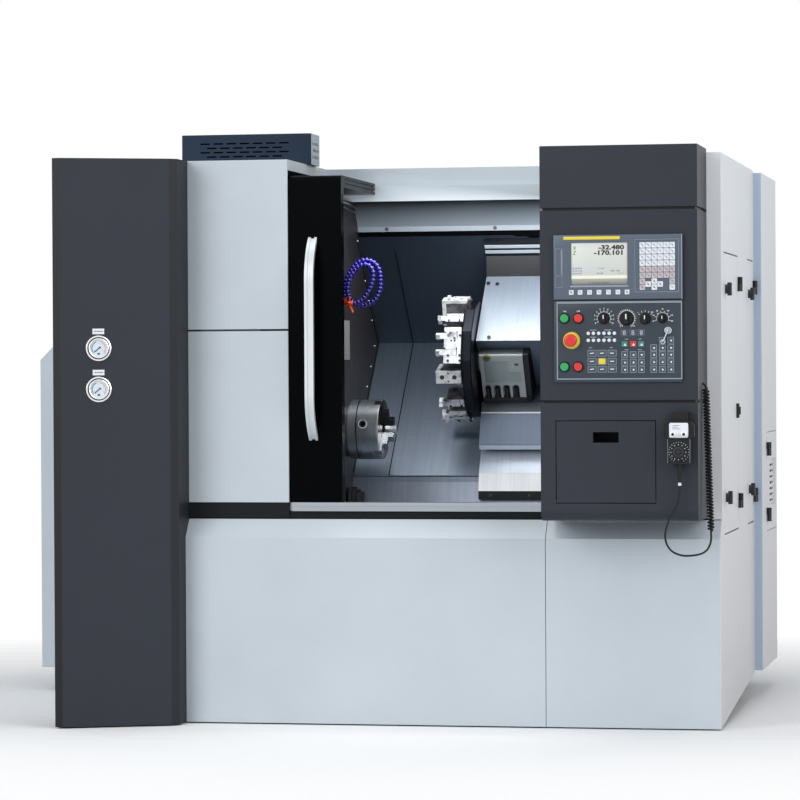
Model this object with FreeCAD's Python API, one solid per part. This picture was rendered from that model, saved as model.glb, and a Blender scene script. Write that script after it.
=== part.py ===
import FreeCAD, Part
import math
import os
from FreeCAD import Vector

# Slant-bed turning lathe. Millimetres. X runs along the spindle to the right, Y runs to the back,
# Z is up. Sizes are laid out from the lower front panel (Y 0) and the floor (Z 0); X 0 lies a
# little right of the chuck. Every piece is moved at the end so that the origin is the middle of
# the footprint.

# --- body -----------------------------------------------------------------------------------
HEIGHT = 1829.0            # roof
BAY_LEFT = -307.0          # left edge of the door bay
BAY_WIDTH = 869.0          # door bay, up to the control housing
LEFT_PANEL_WIDTH = 335.0
COVER_WIDTH = 375.0        # dark cover over the headstock end
CONTROL_WIDTH = 493.0
FRONT_STRIP = 45.0         # strip right of the control housing
REAR_SPACE = 19.0          # between the bed and the back panel
SETBACK = 50.0             # upper front plane behind the lower one
SHEET = 3.0                # sheet metal
FLOOR_GAP = 4.0            # panels end above the floor
SIDE_RISE = 85.0           # the side skin's lower edge rises to the back
LOWER_PANEL_HEIGHT = 604.0
BEVEL_HEIGHT = 58.0
PLINTH_TOP = 688.0
SILL_TOP = 716.0
SILL_INSET = 13.0          # the rail's front part starts right of the bay's edge
SILL_GROOVE_LOW = 11.0
SILL_GROOVE_HIGH = 17.0
SILL_GROOVE_DEPTH = 4.0
SEAM = 6.0                 # gap between neighbouring panels
PANEL_SPLIT = 1276.0       # seam between the two left panels
LOWER_SEAM_X = 541.0
RETURN_DEPTH = 6.0         # folded panel edges
BED_RIGHT_GAP = 160.0      # service space behind the right skin

# --- rear cabinet, vent box, left housing --------------------------------------------------
CABINET_WIDTH = 1030.0
CABINET_DEPTH = 568.0
CABINET_OVERHANG = 28.0    # stands proud of the right skin
CABINET_DROP = 7.0         # below the roof
CABINET_BOTTOM = 93.0
CABINET_POCKET = 200.0
CAB_DOOR_INSET = 177.0     # behind the cabinet's front
CAB_DOOR_WIDTH = 372.0
CAB_DOOR_Z = 568.0
CAB_DOOR_HEIGHT = 351.0
VENT_WIDTH = 442.0
VENT_DEPTH = 130.0
VENT_HEIGHT = 104.0
VENT_Y = 340.0
VENT_RIGHT = -292.0
VENT_SLOT = 33.0
VENT_PITCH = 45.0
HOUSING_LEFT = -1450.0
HOUSING_LAP = 100.0        # starts in front of the body's back
HOUSING_DEPTH = 500.0
HOUSING_TOP = 1241.0
HOUSING_BOTTOM = 85.0
HOUSING_CHAMFER = 54.0
HOUSING_FOOT_INSET = 60.0
HOUSING_FOOT_RADIUS = 30.0

# --- left cover and gauges -----------------------------------------------------------------
COVER_REACH = 230.0        # how far the cover stands in front of Y 0
COVER_BEND = 28.0          # narrow bend along its left edge
COVER_SHOULDER = 100.0     # reach where the slanted face ends
GAUGE_X = -877.0
GAUGE_UPPER_Z = 1219.0
GAUGE_PITCH = 132.0
GAUGE_RADIUS = 41.5
GAUGE_DEPTH = 14.0

# --- chamber -------------------------------------------------------------------------------
WALL_INSET = 97.0          # left wall right of the bay's left edge
WALL_THICK = 6.0
WALL_BAND_Y = 417.0        # seal band under the rail, and the plate that carries the hose's valve
WALL_BAND_LOW = 26.0
WALL_BAND_HIGH = 12.0
WALL_PLATE_Y = 418.0
WALL_PLATE_WIDTH = 126.0
WALL_PLATE_Z = 1179.0
WALL_PLATE_HEIGHT = 133.0
SLANT_Y = 608.0            # low end of the slanted bed cover
SLANT_Z = 784.0
SLANT_ANGLE = 45.0
FOLD_TOP_DROP = 35.0       # the sheet behind the fold ends below the lintel's bend
LINER_THICK = 2.5
SLIDE_GAP = 0.5            # between sliding covers
LIP_DROP = 19.0
TRAY_FRONT_Y = 116.0
PAN_Z = 640.0              # chip pan's floor at its front
PAN_RISE = 12.0
PAN_LEAN = 30.0            # its rear wall leans
RAIL_Y = 612.0             # header rail
RAIL_DEPTH = 43.0
RAIL_DROP = 62.0           # rail below the roof
RAIL_HEIGHT = 51.0
LINTEL_Y = 700.0
LINTEL_DROP = 196.0        # the lintel's bend below the roof
LINTEL_INSET = 26.0        # its top edge behind the rail's front
FLANGE = 17.0

# --- door ----------------------------------------------------------------------------------
DOOR_WIDTH = 739.0
DOOR_RIGHT = -131.0
DOOR_Y = 60.0
DOOR_THICK = 40.0
DOOR_ABOVE_RAIL = 9.0
DOOR_ROOF_THICK = 38.0
DOOR_CLEAR = 0.3
WINDOW_WIDTH = 380.0
WINDOW_HEIGHT = 560.0
WINDOW_Z = 930.0
WINDOW_FROM_LEFT = 90.0
WINDOW_THICK = 10.0
HANDLE_X = -226.0
HANDLE_WIDTH = 29.0
HANDLE_BOTTOM = 917.0
HANDLE_LENGTH = 659.0
HANDLE_BOW = 66.0
HANDLE_THICK = 14.0
HANDLE_CURVE = 145.0       # height of each curved end
HANDLE_GROOVE = 11.0
HANDLE_GROOVE_DEPTH = 3.0

# --- spindle -------------------------------------------------------------------------------
AXIS_Y = 500.0
AXIS_Z = 945.0
CHUCK_RADIUS = 100.0
CHUCK_LENGTH = 126.0
CHUCK_GROOVE = 4.0
BORE_RADIUS = 26.0
BAR_PORT_RADIUS = 40.0     # bars enter through the left side sheet
SPINDLE_RADIUS = 55.0
HEAD_LENGTH = 330.0
HEAD_RADIUS = 150.0
HEAD_GAP = 20.0            # headstock face behind the chamber wall
PULLEY_RADIUS = 90.0
PULLEY_WIDTH = 50.0
PULLEY_GAP = 30.0
BELT_THICK = 5.0
BEARING_GAP = 0.05
JAW_WIDTH = 30.0
JAW_TURN = 235.0           # direction of the first jaw in the YZ plane
JAW_BASE = 22.0
JAW_STEP = 17.0
JAW_INNER = 23.0
JAW_TREAD = 28.0           # each step's length towards the rim
JAW_RIM = 96.0
JAW_POINT = 14.0
JAW_FOOT = 5.0             # the jaw's outer step stands this far off the chuck's face
JAW_SCREW = 5.5
CHUCK_BACK = 21.0          # narrower rear part
CHUCK_BACK_RADIUS = 92.0
GROOVE_AT = 49.0
GROOVE_WIDTH = 3.0
KEY_AT = 74.0
KEY_TURN = 66.0            # key sockets lie before the jaws
KEY_RADIUS = 16.0
KEY_SIZE = 12.0
KEY_DEPTH = 24.0
KEY_PROUD = 1.5
FACE_SCREW_AT = 74.0
FACE_SCREW = 7.0
MOTOR_RADIUS = 105.0
MOTOR_LENGTH = 280.0
MOTOR_Y = 620.0
MOTOR_Z = 500.0
MOTOR_PULLEY_RADIUS = 60.0

# --- slide ways ----------------------------------------------------------------------------
BED_DROP = 110.0           # rail seat below the bed cover
BED_END_GAP = 13.0         # the bed ends below the fold
BASE_BOTTOM = 60.0
BASE_OVERHANG = 8.0        # the base ends left of the headstock
BASE_FRONT = 20.0
BASE_SHELF = 600.0
PLINTH_Y = 60.0
PLINTH_DEPTH = 46.0
PLINTH_FOOT = 80.0         # it starts below the base's shelf
LEFT_MARGIN = 120.0        # rails and plinth start inside the left cover
FOOT_RADIUS = 45.0
FOOT_TAPER = 12.0
PAD_HEIGHT = 22.0
STUD_RADIUS = 14.0
FOOT_INSET = 80.0
PEDESTAL_WIDTH = 340.0     # carries the spindle motor
PEDESTAL_Y = 300.0
PEDESTAL_REAR = 120.0
POCKET_INSET = 120.0       # cored pockets in the back of the base
POCKET_PITCH = 480.0
POCKET_WIDTH = 340.0
POCKET_DEPTH = 220.0
POCKET_LOW = 160.0
POCKET_HIGH = 560.0
RAIL_WIDTH = 34.0
RAIL_TALL = 28.0
RAIL_LOW = 40.0
RAIL_FOLD_GAP = 69.0       # upper rail below the fold
SADDLE_X = 430.0
SADDLE_LENGTH = 170.0
COVER_X = 226.0            # left edge of the saddle cover
COVER_LENGTH = 394.0
LINER_END = 330.0
MID_X = -90.0
MID_LENGTH = 470.0
SCREW_S = 310.0
SCREW_RADIUS = 16.0
HOOD_HEIGHT = 370.0
HOOD_FOLD = 52.0           # its upright part, measured off the back sheet
HOOD_END_WIDTH = 170.0     # end plate under the hood, at the back sheet
RIDGE_DROPS = (70.0, 46.0)  # ridges below the back sheet's top
RIDGE_PROUD = 7.0
RIDGE_WIDTH = 12.0
HOOD_FRONT = 37.0          # the hood starts in front of the turret's axis
PLATEAU_LOW = 78.0
PLATEAU_LENGTH = 172.0
PLATEAU_HEIGHT = 42.0
SKIRT_LOW = -6.0           # foot of the plate below the plateau
SKIRT_HEIGHT = 22.0
SKIRT_FRONT = 32.0         # the skirt's lowest part stands before the bed cover
SKIRT_BEND = 49.0
SKIRT_BOTTOM = 78.0
APRON_LOW = 64.0           # cover plate carried by the slide
APRON_FOOT = 88.0
APRON_BEND = 172.0
APRON_HEIGHT = 130.0
APRON_TOP = 140.0
APRON_LIP = 22.0
WAY_WIDTH = 70.0
WAY_TOP = 60.0
SLIDE_FRONT = 102.0        # the slide starts in front of the turret's axis
SLIDE_LENGTH = 351.0
SLIDE_BASE = 48.0
SLIDE_TOP = 150.0
SLIDE_X = 240.0
SLIDE_WIDTH = 352.0

# --- turret --------------------------------------------------------------------------------
TURRET_CLEAR = 112.0       # from the tool tips to the back sheet
TURRET_N = 247.0
STATIONS = 12
DISC_RADIUS = 196.0
DISC_THICK = 33.0
DISC_X = 189.0
DISC_EDGE = 3.0            # bevel along the rim
CAP_RADIUS = 62.0
CAP_PROUD = 14.0
STATION_TURN = 17.0        # direction of the first station in the YZ plane
TURRET_GAP = 12.0
TURRET_BODY = 147.0        # cast part of the housing
SEAL_WIDTH = 17.0          # dark guard along its right side
SEAL_GAP = 2.0
SEAL_BACK = 3.0
FACE_LOW = 165.0           # the front face runs from here to the housing's top
FACE_HIGH = 329.5
FACE_LEAN = 37.0           # its foot stands lower on the bed than its top
HOUSING_LENGTH = 222.0     # along the bed
FLANGE_EDGE = 4.0          # flange under the housing
FACE_ROUND = 8.0
HOOD_LIP = 36.0
HOOD_CLEAR = 6.0
PANE_DEPTH = 4.0           # sunk fields of the front face
PANE_FIELDS = ((16.0, 96.0, 60.0, 143.0), (95.0, 137.0, 60.0, 100.0))
SLOT_FIELD = (101.0, 130.0, 124.0, 134.0)
PLUG_AT = (26.0, 156.0)
PLUG_RADIUS = 12.0
PLUG_PROUD = 3.0
FITTINGS = 4
FITTING_FIRST = 18.0
FITTING_PITCH = 32.0
FITTING_RADIUS = 8.0
NICHE_HALF = 12.0
NICHE_HEIGHT = 50.0
NICHE_DEPTH = 10.0         # the fittings are set into its back
HUB_RADIUS = 44.0
SHAFT_RADIUS = 24.0
TOOL_REACH = 218.0
TOOL_LENGTH = 84.0
BORING_ROOT = 125.0        # blocks for boring bars: one station in three
BORING_REACH = 212.0
BORING_HALF = 21.0
BORING_BORE = 12.5
BORING_BORE_AT = 168.0
SINK_RADIUS = 8.0          # sunk screws
SINK_DEPTH = 9.0
SINK_INSET = 21.0
TURNING_ROOT = 145.0
TURNING_REACH = 203.0
TURNING_BACK = 57.0        # length of the turning blocks along the axis
TURNING_FOOT = 46.0        # half widths of the wide block
TURNING_BROAD = 62.0
TURNING_SLIM = 17.0        # half width of the narrow block
SHANK = 20.0               # square tool shanks
SHANK_TIP = 13.0

# --- control housing -----------------------------------------------------------------------
CONTROL_REACH = 220.0
CONTROL_BOTTOM = 670.0
CONTROL_RISE = 11.0        # above the roof
UPPER_SEAM_GAP = 77.0      # seam above the display
LOWER_SEAM_GAP = 64.0      # seam below the operator panel
HOUSING_SEAM = 9.0
HOUSING_SEAM_DEPTH = 8.0
CONTROL_ROUND = 34.0
PANEL_LEFT = 45.0          # from the housing's left side
PANEL_WIDTH = 401.0
PANEL_BOTTOM = 1102.0
PANEL_HEIGHT = 255.0
PANEL_THICK = 8.0
LCD_HEIGHT = 204.0
LCD_THICK = 14.0
SCREEN_WIDTH = 176.0
SCREEN_HEIGHT = 134.0
STEM_SPACE = 34.0          # room behind the operator panel
STEM_END = 12.0            # stems end in front of that room's back
BUTTON_RADIUS = 13.0
BUTTON_PROUD = 10.0
BUTTON_GAP = 0.3
STOP_RADIUS = 20.0
STOP_PRESS = 6.0
KNOB_RADIUS = 15.0
KNOB_PROUD = 18.0
STEM_RADIUS = 5.0
ACCESS_X = 47.0
ACCESS_WIDTH = 315.0
ACCESS_Z = 725.0
ACCESS_HEIGHT = 259.0
ACCESS_DEPTH = 150.0
ACCESS_PIN_Y = 3.0         # drop-down door's pin behind its face
ACCESS_PIN_Z = 6.0
LEAF_GAP = 2.5
LEAF_THICK = 16.0
FINGER_WIDTH = 81.0
FINGER_HEIGHT = 33.0
FINGER_BELOW_TOP = 34.0

# --- side doors ----------------------------------------------------------------------------
FRONT_DOOR_Y = 136.0
FRONT_DOOR_WIDTH = 455.0
REAR_DOOR_EDGE = 29.0      # from the body's back
REAR_DOOR_WIDTH = 207.0
SIDE_DOOR_Z = 611.0
SIDE_DOOR_HEIGHT = 906.0
LATCH_INSET = 39.0         # front door's latches behind its front edge
REAR_LATCH_INSET = 34.0
LATCH_PROUD = 22.0
LATCH_TALL = 42.0
HINGE_PROUD = 16.0
HINGE_TALL = 48.0
PIN_RADIUS = 3.0
HINGE_OFFSET = 94.0        # hinges and latches from a door's ends
LATCH_OFFSET = 119.0
CAB_HINGE_OFFSET = 60.0

# --- pendant -------------------------------------------------------------------------------
PENDANT_X = 1000.0
PENDANT_TOP = 982.0
PENDANT_WIDTH = 71.0
PENDANT_THICK = 36.0
PENDANT_LOW = 849.0
HEAD_WIDTH = 84.0
HEAD_TALL = 55.0
DIAL_RADIUS = 27.0
DIAL_Z = 886.0
CABLE_RADIUS = 3.25
CURL_RADIUS = 8.25
CURL_PITCH = 8.6
CURL_COUNT = 46

# --- coolant hose --------------------------------------------------------------------------
HOSE_RADIUS = 9.5
BEAD_PITCH = 13.0

# --- worked out from the sizes above -------------------------------------------------------
slant = math.radians(SLANT_ANGLE)
rail_top = HEIGHT - RAIL_DROP
rail_z = rail_top - RAIL_HEIGHT
door_top = rail_top + DOOR_ABOVE_RAIL
lintel_z = HEIGHT - LINTEL_DROP
control_top = HEIGHT + CONTROL_RISE
fold_top_rise = lintel_z - FOLD_TOP_DROP - SLANT_Z
fold_top_back = LINTEL_Y + SHEET + SLIDE_GAP - SLANT_Y
slant_length = fold_top_rise * math.sin(slant) + fold_top_back * math.cos(slant)
back_length = fold_top_rise * math.cos(slant) - fold_top_back * math.sin(slant)
bed_high_s = slant_length - BED_END_GAP
body_depth = SLANT_Y + bed_high_s * math.cos(slant) + BED_DROP * math.sin(slant) + REAR_SPACE
bay_right = BAY_LEFT + BAY_WIDTH
control_right = bay_right + CONTROL_WIDTH
right = control_right + FRONT_STRIP
panel_left = BAY_LEFT - LEFT_PANEL_WIDTH
cover_left = panel_left - COVER_WIDTH
wall_x = BAY_LEFT + WALL_INSET
chamber_right = right - BED_RIGHT_GAP
cabinet_right = right + CABINET_OVERHANG
cabinet_rear = body_depth + CABINET_DEPTH
cabinet_top = HEIGHT - CABINET_DROP
cab_door_y = body_depth + CAB_DOOR_INSET
housing_front = body_depth - HOUSING_LAP
rear_door_y = body_depth - REAR_DOOR_EDGE - REAR_DOOR_WIDTH
turret_s = slant_length - TURRET_CLEAR - TOOL_REACH
slide_low = turret_s - SLIDE_FRONT
hood_low = turret_s - HOOD_FRONT
head_left = wall_x - WALL_THICK - HEAD_GAP - HEAD_LENGTH
dial_front = -CONTROL_REACH - 12.0 - PENDANT_THICK - 14.0
origin = Vector((HOUSING_LEFT + cabinet_right + HINGE_PROUD) / 2.0, (dial_front + cabinet_rear) / 2.0, 0)


def box(x0, x1, y0, y1, z0, z1):
    return Part.makeBox(x1 - x0, y1 - y0, z1 - z0, Vector(x0, y0, z0))


def prism(points, vector):
    wire = Part.makePolygon(points + [points[0]])
    return Part.Face(wire).extrude(vector)


def prism_x(points, x0, x1):
    """Outline in Y, Z, drawn out along X."""
    return prism([Vector(x0, y, z) for y, z in points], Vector(x1 - x0, 0, 0))


def prism_y(points, y0, y1):
    return prism([Vector(x, y0, z) for x, z in points], Vector(0, y1 - y0, 0))


def prism_z(points, z0, z1):
    return prism([Vector(x, y, z0) for x, y in points], Vector(0, 0, z1 - z0))


def rod(radius, start, end):
    path = end - start
    return Part.makeCylinder(radius, path.Length, start, path)


def rod_x(radius, x0, x1, y, z):
    return rod(radius, Vector(x0, y, z), Vector(x1, y, z))


def rod_y(radius, y0, y1, x, z):
    return rod(radius, Vector(x, y0, z), Vector(x, y1, z))


def fuse(shapes):
    return shapes[0].multiFuse(shapes[1:]).removeSplitter() if len(shapes) > 1 else shapes[0]


def fillet(shape, radius, wanted):
    """Round the edges whose middle and direction pass the test."""
    edges = []
    for edge in shape.Edges:
        run = edge.Vertexes[-1].Point - edge.Vertexes[0].Point
        if run.Length > 0 and wanted(edge.CenterOfMass, run.normalize()):
            edges.append(edge)
    return shape.makeFillet(radius, edges)


def along(run, axis):
    return abs(getattr(run, axis)) > 0.99


def slope(s, n):
    """A point at s up the slanted bed and n above its cover, as (Y, Z)."""
    y = SLANT_Y + s * math.cos(slant) - n * math.sin(slant)
    z = SLANT_Z + s * math.sin(slant) + n * math.cos(slant)
    return (y, z)


def slope_box(x0, x1, s0, s1, n0, n1):
    return prism_x([slope(s0, n0), slope(s1, n0), slope(s1, n1), slope(s0, n1)], x0, x1)


def folded(points, thick):
    """A folded sheet's outline: the polyline and its parallel to the left."""
    sides = []
    for (a, b), (c, d) in zip(points, points[1:]):
        run = math.hypot(c - a, d - b)
        sides.append((-(d - b) / run, (c - a) / run))
    inner = []
    for index, (a, b) in enumerate(points):
        before = sides[max(index - 1, 0)]
        after = sides[min(index, len(sides) - 1)]
        share = thick / (1.0 + before[0] * after[0] + before[1] * after[1])
        inner.append((a + (before[0] + after[0]) * share, b + (before[1] + after[1]) * share))
    return points + inner[::-1]


def save(name, shapes):
    if not isinstance(shapes, list):
        shapes = [shapes]
    solids = []
    for shape in shapes:
        solids += shape.Solids
    whole = solids[0] if len(solids) == 1 else Part.makeCompound(solids)
    whole = whole.copy()
    whole.translate(-origin)
    assert whole.isValid() and all(solid.Volume > 0 for solid in whole.Solids), name
    whole.exportStep("parts/" + name + ".step")


os.makedirs("parts", exist_ok=True)


# --- base, feet and outer panels -----------------------------------------------------------
bed_right = chamber_right - 5.0
base_left = head_left - BASE_OVERHANG


def base_bed():
    """Welded base with the slanted bed, a plinth beam under the sill and the motor pedestal."""
    low = slope(-BED_DROP, -BED_DROP)
    high = slope(bed_high_s, -BED_DROP)
    outline = [(BASE_FRONT, BASE_BOTTOM), (BASE_FRONT, BASE_SHELF - 60.0), (BASE_FRONT + 60.0, BASE_SHELF),
               (low[0] - 40.0, BASE_SHELF), low, high, (high[0], BASE_BOTTOM)]
    bed = prism_x(outline, base_left, bed_right)
    plinth = box(cover_left + LEFT_MARGIN, chamber_right, PLINTH_Y, PLINTH_Y + PLINTH_DEPTH, BASE_SHELF - PLINTH_FOOT,
                 PLINTH_TOP)
    ledge = box(panel_left, BAY_LEFT, SETBACK + SHEET, PLINTH_Y + 1.0, PLINTH_TOP - 22.0, SILL_TOP)
    step = box(panel_left, BAY_LEFT, PLINTH_Y, PLINTH_Y + 4.0, PLINTH_TOP - 22.0, SILL_TOP - 8.0)
    pedestal = box(base_left - PEDESTAL_WIDTH, base_left, PEDESTAL_Y, body_depth - PEDESTAL_REAR, BASE_BOTTOM,
                   MOTOR_Z - MOTOR_RADIUS)
    pockets = []
    for index in range(3):
        x0 = base_left + POCKET_INSET + index * POCKET_PITCH
        pockets.append(box(x0, x0 + POCKET_WIDTH, high[0] - POCKET_DEPTH, high[0] + 1.0, POCKET_LOW, POCKET_HIGH))
    return fuse([bed, plinth, ledge, step, pedestal]).cut(Part.makeCompound(pockets))


def levelling_feet():
    feet = []
    xs = [base_left - PEDESTAL_WIDTH + FOOT_INSET, base_left + 2.0 * FOOT_INSET, (base_left + bed_right) / 2.0,
          bed_right - FOOT_INSET]
    for x in xs:
        front = PEDESTAL_Y + FOOT_INSET if x < base_left else BASE_FRONT + FOOT_INSET
        for y in (front, body_depth - PEDESTAL_REAR - FOOT_INSET):
            pad = Part.makeCone(FOOT_RADIUS, FOOT_RADIUS - FOOT_TAPER, PAD_HEIGHT, Vector(x, y, 0))
            stud = Part.makeCylinder(STUD_RADIUS, BASE_BOTTOM - PAD_HEIGHT, Vector(x, y, PAD_HEIGHT))
            feet.append(fuse([pad, stud]))
    return feet


def lower_front_panels():
    """Folded panels: an upright face, a bevel and a short top that meets the plinth."""
    line = [(PLINTH_Y, LOWER_PANEL_HEIGHT + BEVEL_HEIGHT), (SETBACK, LOWER_PANEL_HEIGHT + BEVEL_HEIGHT),
            (0.0, LOWER_PANEL_HEIGHT), (0.0, FLOOR_GAP)]
    outline = folded(line, SHEET)
    spans = [(panel_left + 1.0, LOWER_SEAM_X - 1.0), (LOWER_SEAM_X + 1.0, right - SHEET)]
    return [prism_x(outline, x0, x1) for x0, x1 in spans]


def tray_panel(x0, x1, z0, z1):
    """A front panel with its four edges folded back."""
    body = box(x0, x1, SETBACK, SETBACK + RETURN_DEPTH, z0, z1)
    hollow = box(x0 + SHEET, x1 - SHEET, SETBACK + SHEET, SETBACK + RETURN_DEPTH + 1.0, z0 + SHEET, z1 - SHEET)
    panel = body.cut(hollow)
    return fillet(panel, 1.5, lambda mid, run: abs(mid.y - SETBACK) < 0.1)


def left_front_panels():
    upper = tray_panel(panel_left, BAY_LEFT, PANEL_SPLIT + SEAM / 2.0, HEIGHT)
    lower = tray_panel(panel_left, BAY_LEFT, SILL_TOP, PANEL_SPLIT - SEAM / 2.0)
    return [upper, lower]


def roof():
    """Three roof panels round the open bay, with folded edges towards it."""
    y0 = SETBACK + RETURN_DEPTH
    rear = RAIL_Y + RAIL_DEPTH - SHEET
    left = box(cover_left + 15.0, BAY_LEFT, y0, rear, HEIGHT - SHEET, HEIGHT)
    left_edge = box(BAY_LEFT - SHEET, BAY_LEFT, y0, rear, HEIGHT - 34.0, HEIGHT)
    right_sheet = box(bay_right, right - SHEET, SETBACK + SHEET, rear, HEIGHT - SHEET, HEIGHT)
    right_edge = box(bay_right, bay_right + SHEET, SETBACK + SHEET, rear, HEIGHT - 34.0, HEIGHT)
    back = box(cover_left + 15.0, right - SHEET, rear, body_depth, HEIGHT - SHEET, HEIGHT)
    fascia = box(cover_left + 15.0 + SHEET, right - SHEET, rear, rear + SHEET, rail_top, HEIGHT)
    return [fuse([left, left_edge]), fuse([right_sheet, right_edge]), fuse([back, fascia])]


def back_panels():
    """Left side and back of the body, hidden in the photograph."""
    x0 = cover_left + 15.0
    side = box(x0, x0 + SHEET, SETBACK, body_depth, BASE_BOTTOM, HEIGHT - SHEET)
    side = side.cut(rod_x(BAR_PORT_RADIUS, x0 - 1.0, x0 + SHEET + 1.0, AXIS_Y, AXIS_Z))
    rear = box(x0 + SHEET, right - SHEET, body_depth - SHEET, body_depth, CABINET_BOTTOM, HEIGHT - SHEET)
    return [side, rear]


def left_cover():
    """Wedge-shaped cover: its face slants back from a bend along the left edge."""
    plan = [(cover_left, SETBACK), (cover_left, -COVER_REACH), (cover_left + COVER_BEND, -COVER_REACH - 5.0),
            (panel_left - 24.0, -COVER_SHOULDER), (panel_left, -COVER_SHOULDER + 22.0), (panel_left, SETBACK)]
    body = prism_z(plan, FLOOR_GAP, HEIGHT)
    return fillet(body, 5.0, lambda mid, run: along(run, "z") and mid.y < -COVER_SHOULDER - 10.0)


def left_end_housing():
    inner = cover_left + 15.0
    outline = [(HOUSING_LEFT, HOUSING_BOTTOM), (HOUSING_LEFT, HOUSING_TOP - HOUSING_CHAMFER),
               (HOUSING_LEFT + HOUSING_CHAMFER, HOUSING_TOP), (inner, HOUSING_TOP), (inner, HOUSING_BOTTOM)]
    body = prism_y(outline, housing_front, housing_front + HOUSING_DEPTH)
    body = fillet(body, 4.0, lambda mid, run: abs(mid.y - housing_front) < 0.1)
    feet = []
    for x in (HOUSING_LEFT + HOUSING_FOOT_INSET, inner - HOUSING_FOOT_INSET):
        for y in (housing_front + HOUSING_FOOT_INSET, housing_front + HOUSING_DEPTH - HOUSING_FOOT_INSET):
            feet.append(Part.makeCylinder(HOUSING_FOOT_RADIUS, HOUSING_BOTTOM, Vector(x, y, 0)))
    return [body] + feet


def vent_box():
    """Slotted box on the roof: rows of slots in front, a perforated right side."""
    x1 = VENT_RIGHT
    x0 = x1 - VENT_WIDTH
    z0 = HEIGHT
    z1 = HEIGHT + VENT_HEIGHT
    body = box(x0, x1, VENT_Y, VENT_Y + VENT_DEPTH, z0, z1)
    body = fillet(body, 3.0, lambda mid, run: mid.z > z1 - 0.1)
    hollow = box(x0 + SHEET, x1 - SHEET, VENT_Y + SHEET, VENT_Y + VENT_DEPTH - SHEET, z0 + SHEET, z1 - SHEET)
    slots = []
    for row in range(4):
        z = z1 - 33.0 - row * 14.5
        count = 7 - row % 2
        first = x0 + 63.0 + (row % 2) * VENT_PITCH / 2.0
        for index in range(count):
            x = first + index * VENT_PITCH
            slots.append(box(x, x + VENT_SLOT, VENT_Y - 1.0, VENT_Y + SHEET + 1.0, z, z + 5.0))
    for row in range(3):
        for index in range(5):
            y = VENT_Y + 24.0 + index * 19.0 + (row % 2) * 6.0
            z = z0 + 22.0 + row * 22.0
            slots.append(box(x1 - SHEET - 1.0, x1 + 1.0, y, y + 9.0, z, z + 9.0))
    return body.cut(Part.makeCompound([hollow] + slots))


def sill_rail():
    """Aluminium rail under the door: full width, with the part in the bay brought forward."""
    front = box(BAY_LEFT + SILL_INSET, bay_right, SETBACK, PLINTH_Y + PLINTH_DEPTH, PLINTH_TOP, SILL_TOP)
    groove = box(BAY_LEFT + SILL_INSET - 1.0, bay_right + 1.0, SETBACK - 1.0, SETBACK + SILL_GROOVE_DEPTH,
                 PLINTH_TOP + SILL_GROOVE_LOW, PLINTH_TOP + SILL_GROOVE_HIGH)
    behind = box(cover_left + LEFT_MARGIN, BAY_LEFT + SILL_INSET, PLINTH_Y + 5.0, PLINTH_Y + PLINTH_DEPTH, PLINTH_TOP,
                 SILL_TOP)
    return fuse([front.cut(groove), behind])


def header():
    """Rail behind the door's roof part, and the folded splash plate under it."""
    rail = box(cover_left + LEFT_MARGIN, chamber_right, RAIL_Y, RAIL_Y + RAIL_DEPTH, rail_z, rail_top)
    line = [(RAIL_Y + LINTEL_INSET, rail_z), (LINTEL_Y, lintel_z), (LINTEL_Y, lintel_z - FLANGE)]
    plate = prism_x(folded(line, SHEET), wall_x, chamber_right)
    return [rail, plate]


# --- right side ----------------------------------------------------------------------------
def side_opening(y, width):
    return (y, y + width, SIDE_DOOR_Z, SIDE_DOOR_Z + SIDE_DOOR_HEIGHT)


def right_skin():
    """Side sheet with a rising lower edge, two door openings and a strip folded to the front."""
    outline = [(0.0, FLOOR_GAP), (0.0, LOWER_PANEL_HEIGHT), (SETBACK, LOWER_PANEL_HEIGHT + BEVEL_HEIGHT),
               (SETBACK, HEIGHT), (body_depth, HEIGHT), (body_depth, FLOOR_GAP + SIDE_RISE)]
    skin = prism_x(outline, right - SHEET, right)
    holes = []
    for y, width in ((FRONT_DOOR_Y, FRONT_DOOR_WIDTH), (rear_door_y, REAR_DOOR_WIDTH)):
        y0, y1, z0, z1 = side_opening(y, width)
        holes.append(box(right - SHEET - 1.0, right + 1.0, y0, y1, z0, z1))
    strip = box(control_right, right, SETBACK, SETBACK + SHEET, LOWER_PANEL_HEIGHT + BEVEL_HEIGHT + SHEET, HEIGHT)
    return fuse([skin.cut(Part.makeCompound(holes)), strip])


def latch(y, z):
    """Wing latch: a round boss with a tapered wing."""
    boss = rod_x(15.0, right - 2.0, right + 12.0, y, z)
    wing = prism_x([(y - 9.0, z - LATCH_TALL / 2.0), (y + 9.0, z - LATCH_TALL / 2.0),
                    (y + 6.0, z + LATCH_TALL / 2.0), (y - 6.0, z + LATCH_TALL / 2.0)], right + 8.0, right + LATCH_PROUD)
    return fuse([boss, fillet(wing, 3.0, lambda mid, run: mid.x > right + LATCH_PROUD - 0.1)])


def side_door(y, width, latch_inset):
    """Tray-shaped leaf that fills its opening, with two latches on its front edge."""
    y0, y1, z0, z1 = side_opening(y, width)
    outer = box(right - LEAF_THICK, right, y0 + LEAF_GAP, y1 - LEAF_GAP, z0 + LEAF_GAP, z1 - LEAF_GAP)
    rim = LEAF_GAP + SHEET
    hollow = box(right - LEAF_THICK - 1.0, right - SHEET, y0 + rim, y1 - rim, z0 + rim, z1 - rim)
    leaf = outer.cut(hollow)
    ears = []
    for z in (z0 + HINGE_OFFSET, z1 - HINGE_OFFSET):
        ears.append(hinge_ear(right, y1, z, -1))
    return fuse([leaf] + [latch(y0 + latch_inset, z) for z in (z0 + LATCH_OFFSET, z1 - LATCH_OFFSET)] + ears)


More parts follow.
